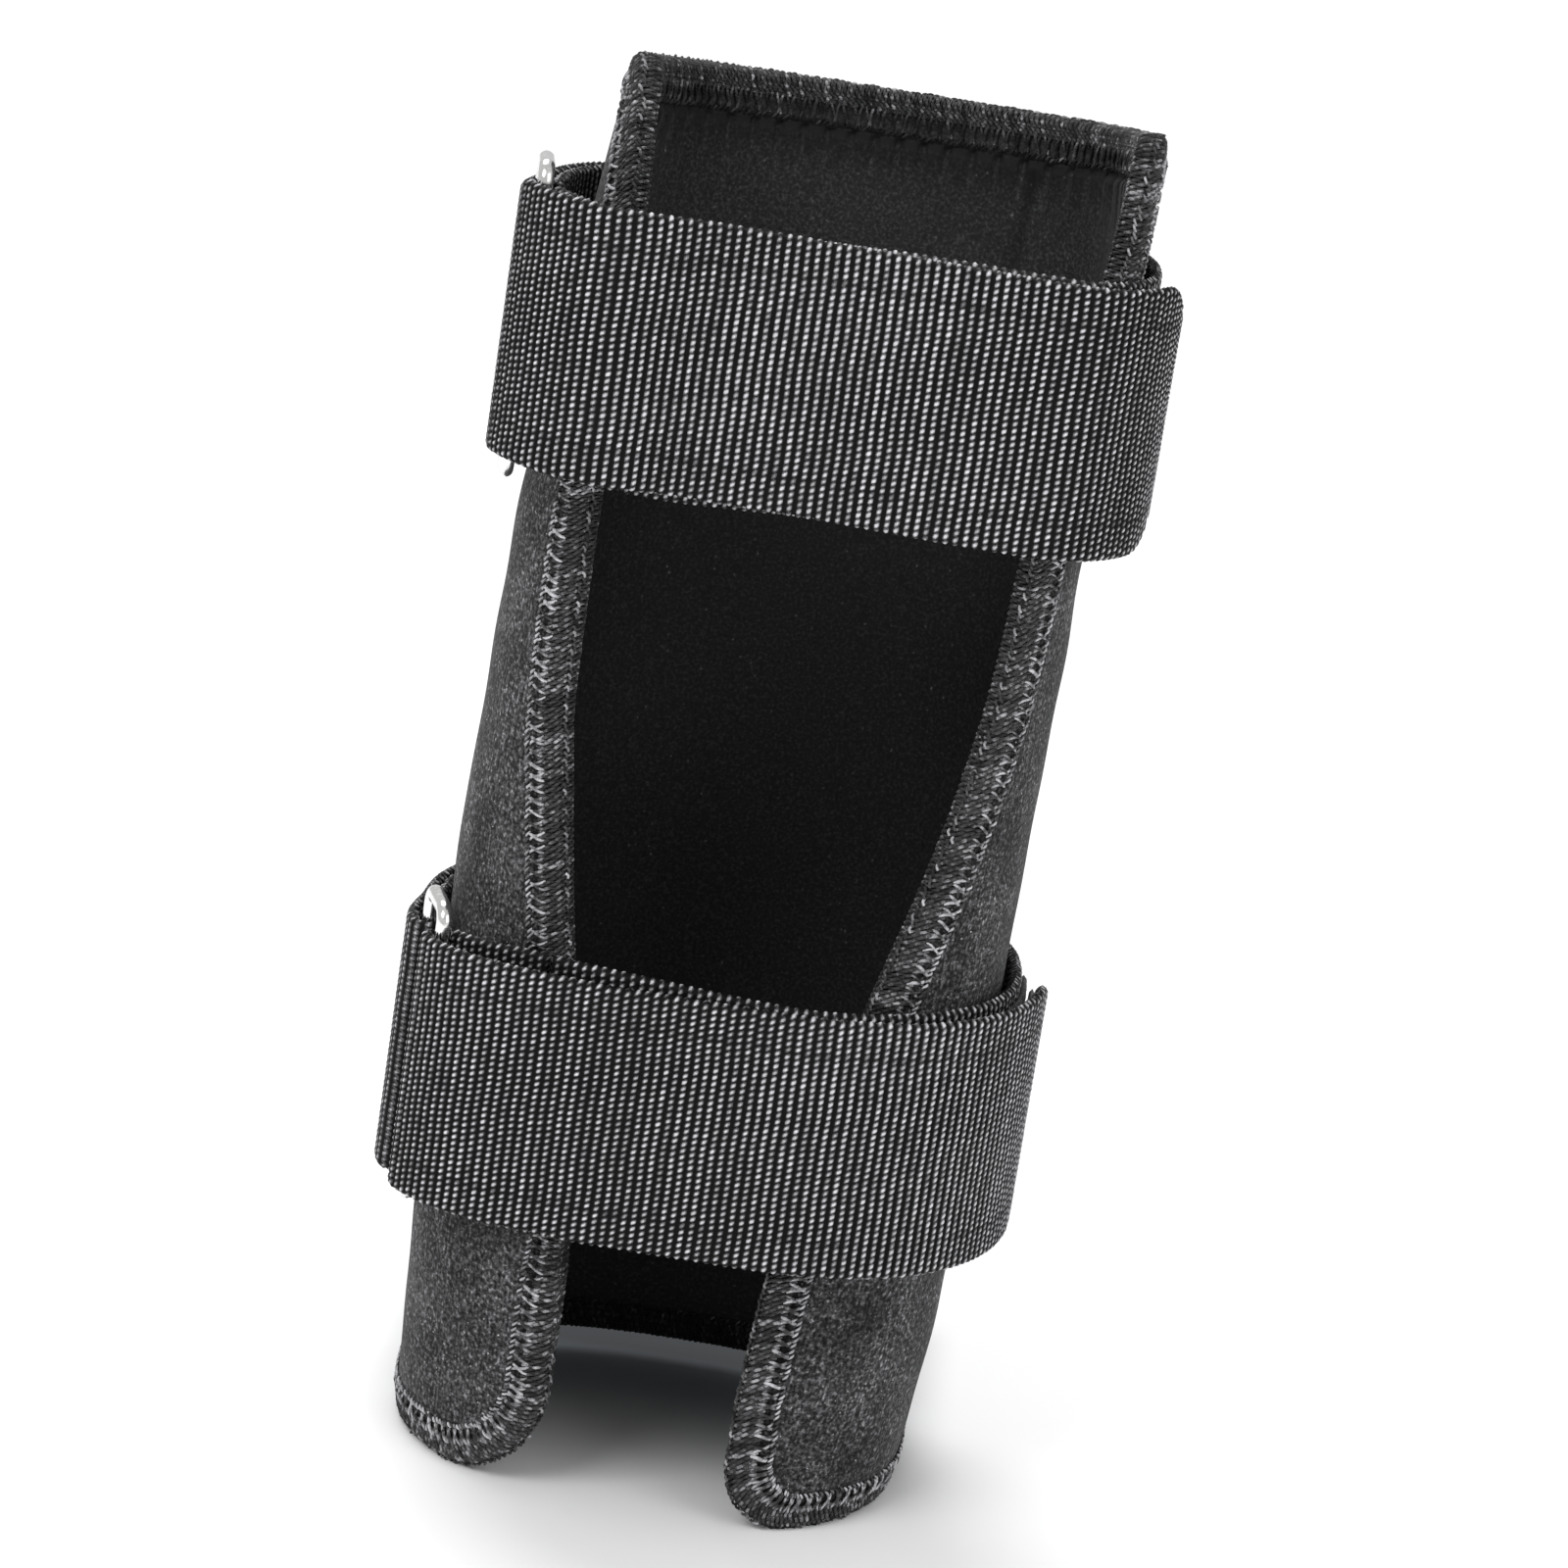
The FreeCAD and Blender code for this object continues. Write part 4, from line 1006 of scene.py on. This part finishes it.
def build_strap(prefix, zc, bar_b_x, end_y, z_left, tilt, seed, rise, lean):
    z0, z1 = zc - WEB_W / 2, zc + WEB_W / 2
    tr = Track(z0, z1)
    z0, z1 = z_left - WEB_W / 2, z_left + WEB_W / 2
    zc = z_left
    d_in = CLEAR + WEB_T / 2
    rr = WIRE_R + BAR_GAP + WEB_T / 2
    d_bar, d_far = d_in + rr, d_in + 2 * rr
    s_b = tr.find(lambda x, y: y < 0 and x < bar_b_x)
    bar_b = tr.at(s_b, d_bar + STAND)
    s_a = s_b
    while math.hypot(*(tr.at(s_a, d_bar) - bar_b)) < RING_C:
        s_a += 0.01
    bar_a = tr.at(s_a, d_bar)
    s_tab = s_a + 36.0

    # ring tab
    near = [tr.at(s, d_in) for s in np.arange(s_tab, s_a, -0.8)]
    near.append(tr.at(s_a, d_in))
    arc = turn(bar_a, rr, near[-1], tr.at(s_a, d_far), bar_b)
    lay = d_in + WEB_T + 0.08
    far = [tr.at(s, lay + (d_far - lay) * (1 - float(smooth01((s - s_a) / 14.0)))) for s in np.arange(s_a, s_tab - 0.5, 0.8)]
    tab = webbing(prefix + "_tab", np.concatenate([near[:-1], arc, far[1:]]), True, zc, "sleeve", tilt=tilt, seed=seed, flip=-1, res_s=RIB / 4, res_w=BEAD / 3, drop=lean)
    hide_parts(prefix + "_ring_tab")
    runs, nn = frame_runs(tr, s_tab - 15.0, s_tab - 2.5, lay + WEB_T / 2 + 0.02, z0 + 3, z1 - 3, tilt)
    o = stitch_obj(prefix + "_tab_stitches", runs, nn, M["stitch"], "sleeve")
    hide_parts(prefix + "_tab_stitching")

    # inner run, in two lengths: the one on the sleeve, and the last bit at the ring
    s_anchor = tr.find(lambda x, y: x > 20.5 and y > 0)
    s_cut = s_b - 15.0

    def in_d(s):
        return d_in + STAND * smooth01((s - (s_b - 16.0)) / 16.0)

    inner = webbing(prefix + "_strap_in", [tr.at(s, in_d(s)) for s in np.arange(s_anchor, s_cut + 0.01, 0.8)], True, zc, "sleeve", tilt=tilt, seed=seed + 2, res_s=RIB / 4, res_w=BEAD / 3, rise=rise)
    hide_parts(prefix + "_strap_inner")
    link = webbing(prefix + "_strap_link", [tr.at(s, in_d(s)) for s in np.append(np.arange(s_cut, s_b - 0.4, 0.8), s_b)], False, zc, None, tilt=tilt, seed=seed + 2, s_phase=s_cut - s_anchor, res_s=RIB / 4, res_w=BEAD / 3, rise=rise)
    runs, nn = frame_runs(tr, s_anchor + 2.5, s_anchor + 15.0, d_in + WEB_T / 2 + 0.02, z0 + 3, z1 - 3, tilt)
    o = stitch_obj(prefix + "_anchor_stitches", runs, nn, M["stitch"], "sleeve")
    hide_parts(prefix + "_anchor_stitching")

    # outer run and end, one length of webbing
    s_end = tr.find(lambda x, y: x > 30 and y < end_y)
    s_hinge = s_end + END_LEN
    d_loop = d_in + WEB_T / 2
    d_end = d_loop + LOOP_T + CLEAR + HOOK_T + WEB_T / 2
    d_mid = d_in + WEB_T + 0.75

    def run_d(s):
        return d_mid + (d_far + STAND - d_mid) * smooth01((s - (s_b - 24.0)) / 22.0) + (d_end - d_mid) * smooth01(((s_hinge + 24.0) - s) / 20.0)

    ss = np.arange(s_end, s_b, 0.8)
    ss = np.concatenate([ss, [s_b]])
    outer = tr.at(ss, run_d(ss))
    run = webbing(prefix + "_strap_run", outer, True, zc, None, tilt=tilt, seed=seed + 4, corner=9.0)
    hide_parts(prefix + "_strap_outer", prefix + "_strap_end")
    length = float(np.hypot(*np.diff(outer, axis=0).T).sum())
    arc_b = turn(bar_b, rr, outer[-1], tr.at(s_b, d_in + STAND), bar_a)
    fold = webbing(prefix + "_strap_fold", arc_b, False, zc, None, tilt=tilt, seed=seed + 4, s_phase=length, res_s=0.2)

    hook = strip(tr, s_end + 1.5, s_hinge - 2.5, d_end - WEB_T / 2 - HOOK_T / 2 - 0.01, HOOK_T, z0 + 2.5, z1 - 2.5, prefix + "_hooks", M["hook"], prefix + "_end", tilt)
    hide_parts(prefix + "_hook_patch")
    loop = strip(tr, s_end - 3.0, s_hinge + 3.0, d_loop + LOOP_T / 2, LOOP_T, z0 + 2.0, z1 - 2.0, prefix + "_loops", M["loop"], "sleeve", tilt, res=0.3, rough=0.05)
    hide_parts(prefix + "_loop_patch")

    # the link, the fold and the run get their transforms baked into their meshes; the points worked out with pt here
    # are not used
    def pt(s, d, z=zc):
        p = tr.at(s, d)
        return ((p[0] + DX) * 0.001, (p[1] + DY) * 0.001, (z + DZ_UP) * 0.001)

    pt(s_cut + 0.5, float(in_d(s_cut)))
    pt(s_b - 1.0, float(in_d(s_b - 1.0)))
    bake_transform(link)
    pt(s_b, d_in + STAND - 0.5)
    pt(s_b, d_far + STAND + 0.5)
    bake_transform(fold)
    pt(s_hinge + 3.0, d_end)
    pt(s_hinge - 3.0, d_end)
    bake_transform(run)
    return tr


# ---------------------------------------------------------------- stay pocket
def back_point(x, z, off):
    """s of the back at sleeve x (array), at heights z."""
    s = np.array(x, float)
    for _ in range(6):
        s = s + (x - _bil(GX, s, z))
    return s


def build_pocket():
    BACK_Y = BACK_B + HALF_T
    xs = np.linspace(-17.0, 17.0, 150)
    zs = np.concatenate([np.linspace(POCKET_Z0, STAY_Z0 + 3, 34), np.arange(STAY_Z0 + 4, POCKET_Z1, 1.0), [POCKET_Z1]])
    X, Z = np.meshgrid(xs, zs, indexing="ij")
    s = back_point(X, Z, 0)
    P = surf(s, Z, np.full_like(X, HALF_T))
    base = P[..., 1] + 0.03
    stay_y = BACK_Y + BIND_T + CLEAR - X * X / 240.0
    lift = stay_y + STAY_T + CLEAR
    ax = np.abs(X)
    k = smooth01((13.3 - ax) / 1.9)
    up = smooth01((Z - (POCKET_Z0 + 3.4)) / 3.1)
    sag = 0.10 * np.sin(Z / 11.0 + X / 7.0) * k * up
    Y = base + k * up * (lift - base) + sag
    mouth = smooth01((Z - (POCKET_Z1 - 4)) / 4.0) * k
    Y = Y + 0.30 * mouth * np.cos(X / 12 * math.pi / 2)
    seam = np.exp(-((ax - 15.7) / 0.5) ** 2) + np.exp(-((Z - (POCKET_Z0 + 1.9)) / 0.5) ** 2)
    dist = np.minimum(np.minimum(17.0 - ax, Z - POCKET_Z0), POCKET_Z1 - Z)
    rnd = np.sqrt(np.maximum(1 - np.clip(1 - dist / 0.6, 0, 1) ** 2, 0.05))
    pk = 0.12 * np.sin(Z * 2 * math.pi / 2.75) * np.exp(-((ax - 14.2) / 1.0) ** 2)
    A = np.stack([X, Y + POCKET_T * rnd - 0.28 * np.clip(seam, 0, 1) + pk * up, Z], -1)
    Bm = np.stack([X, Y, Z], -1)
    V, Q = closed_sheet(A, Bm)
    o = mesh("pocket_panel", V, Q, M["pocket"])
    fix_normals(o)
    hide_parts("stay_pocket")
    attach(o, "sleeve")
    zz = np.linspace(POCKET_Z0 + 1.9, POCKET_Z1 - 1.5, 200)
    runs, nn = [], []
    for x in (-15.7, 15.7):
        xx = np.full_like(zz, x)
        y = surf(back_point(xx, zz, 0), zz, np.full_like(zz, HALF_T))[..., 1] + POCKET_T - 0.10
        runs.append(np.stack([xx, y, zz], -1))
        nn.append(np.tile([0.0, 1.0, 0.0], (len(zz), 1)))
    xx = np.linspace(-15.2, 15.2, 60)
    z_ = np.full_like(xx, POCKET_Z0 + 1.9)
    y = surf(back_point(xx, z_, 0), z_, np.full_like(xx, HALF_T))[..., 1] + POCKET_T - 0.10
    runs.append(np.stack([xx, y, z_], -1))
    nn.append(np.tile([0.0, 1.0, 0.0], (len(xx), 1)))
    st = stitch_obj("pocket_stitches", runs, nn, M["stitch"], "sleeve")
    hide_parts("pocket_stitching")


build_shell()
build_lining()
build_overlock()
build_strap("upper", UP_Z, -37.5, -5.0, 163.3, -0.018, 0.3, -1.4, 2.2)
build_strap("lower", LO_Z, -37.4, 2.0, 56.3, 0.016, 1.9, 1.6, 0.9)
build_pocket()

for node, key in (("stay", "stay"), ("upper_ring", "wire"), ("lower_ring", "wire")):
    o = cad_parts[node]
    o.data.materials.clear() if not o.material_slots else None
    if not o.material_slots:
        o.data.materials.append(M[key])
    for sl in o.material_slots:
        sl.material = M[key]


# ---------------------------------------------------------------- floor, light, camera
def stage():
    me = bpy.data.meshes.new("floor")
    n = 40
    u = np.linspace(-2.5, 2.5, n)
    X, Y = np.meshgrid(u, u + 0.8, indexing="ij")
    V = np.stack([X, Y, np.zeros_like(X)], -1).reshape(-1, 3)
    Q = grid_quads(n, n)
    me.from_pydata(V.tolist(), [], Q.tolist())
    me.materials.append(M["floor"])
    o = bpy.data.objects.new("floor", me)
    bpy.context.scene.collection.objects.link(o)

    w = bpy.data.worlds.new("studio")
    bpy.context.scene.world = w
    w.use_nodes = True
    bg = w.node_tree.nodes["Background"]
    bg.inputs["Color"].default_value = (1, 1, 1, 1)
    bg.inputs["Strength"].default_value = 0.62
    sun = bpy.data.lights.new("back_light", "SUN")
    sun.energy = 1.75
    sun.angle = math.radians(38)
    so = bpy.data.objects.new("back_light", sun)
    so.rotation_euler = Vector((0.34, -0.62, -1.0)).to_track_quat("-Z", "Y").to_euler()
    bpy.context.scene.collection.objects.link(so)

    def area(name, loc, target, size, power):
        l = bpy.data.lights.new(name, "AREA")
        l.shape = "RECTANGLE"
        l.size, l.size_y = size
        l.energy = power
        ob = bpy.data.objects.new(name, l)
        ob.location = loc
        ob.rotation_euler = (Vector(target) - Vector(loc)).to_track_quat("-Z", "Y").to_euler()
        bpy.context.scene.collection.objects.link(ob)

    area("key", (-0.7, -0.9, 1.1), (0, 0, 0.1), (0.7, 0.7), 9.0)
    area("fill", (0.9, -0.8, 0.7), (0, 0, 0.1), (0.8, 0.8), 4.0)

    cam = bpy.data.cameras.new("camera")
    cam.sensor_width = 36.0
    cam.lens = 5202.576 / 1600.0 * 36.0
    cam.clip_start, cam.clip_end = 0.02, 20.0
    ob = bpy.data.objects.new("camera", cam)
    x = Vector((0.98715569, 0.05691508, 0.14927931))
    y = Vector((-0.15889383, 0.25253156, 0.95445302))
    z = Vector((0.01662503, -0.96591329, 0.25833142))
    m = Matrix((x, y, z)).transposed().to_4x4()
    m.translation = Vector(((14.0448713 + DX) * 0.001, (-708.91370173 + DY) * 0.001, (288.3315 + DZ_UP) * 0.001))
    ob.matrix_world = m
    bpy.context.scene.collection.objects.link(ob)
    bpy.context.scene.camera = ob
    bpy.context.scene.view_settings.view_transform = "Standard"


stage()
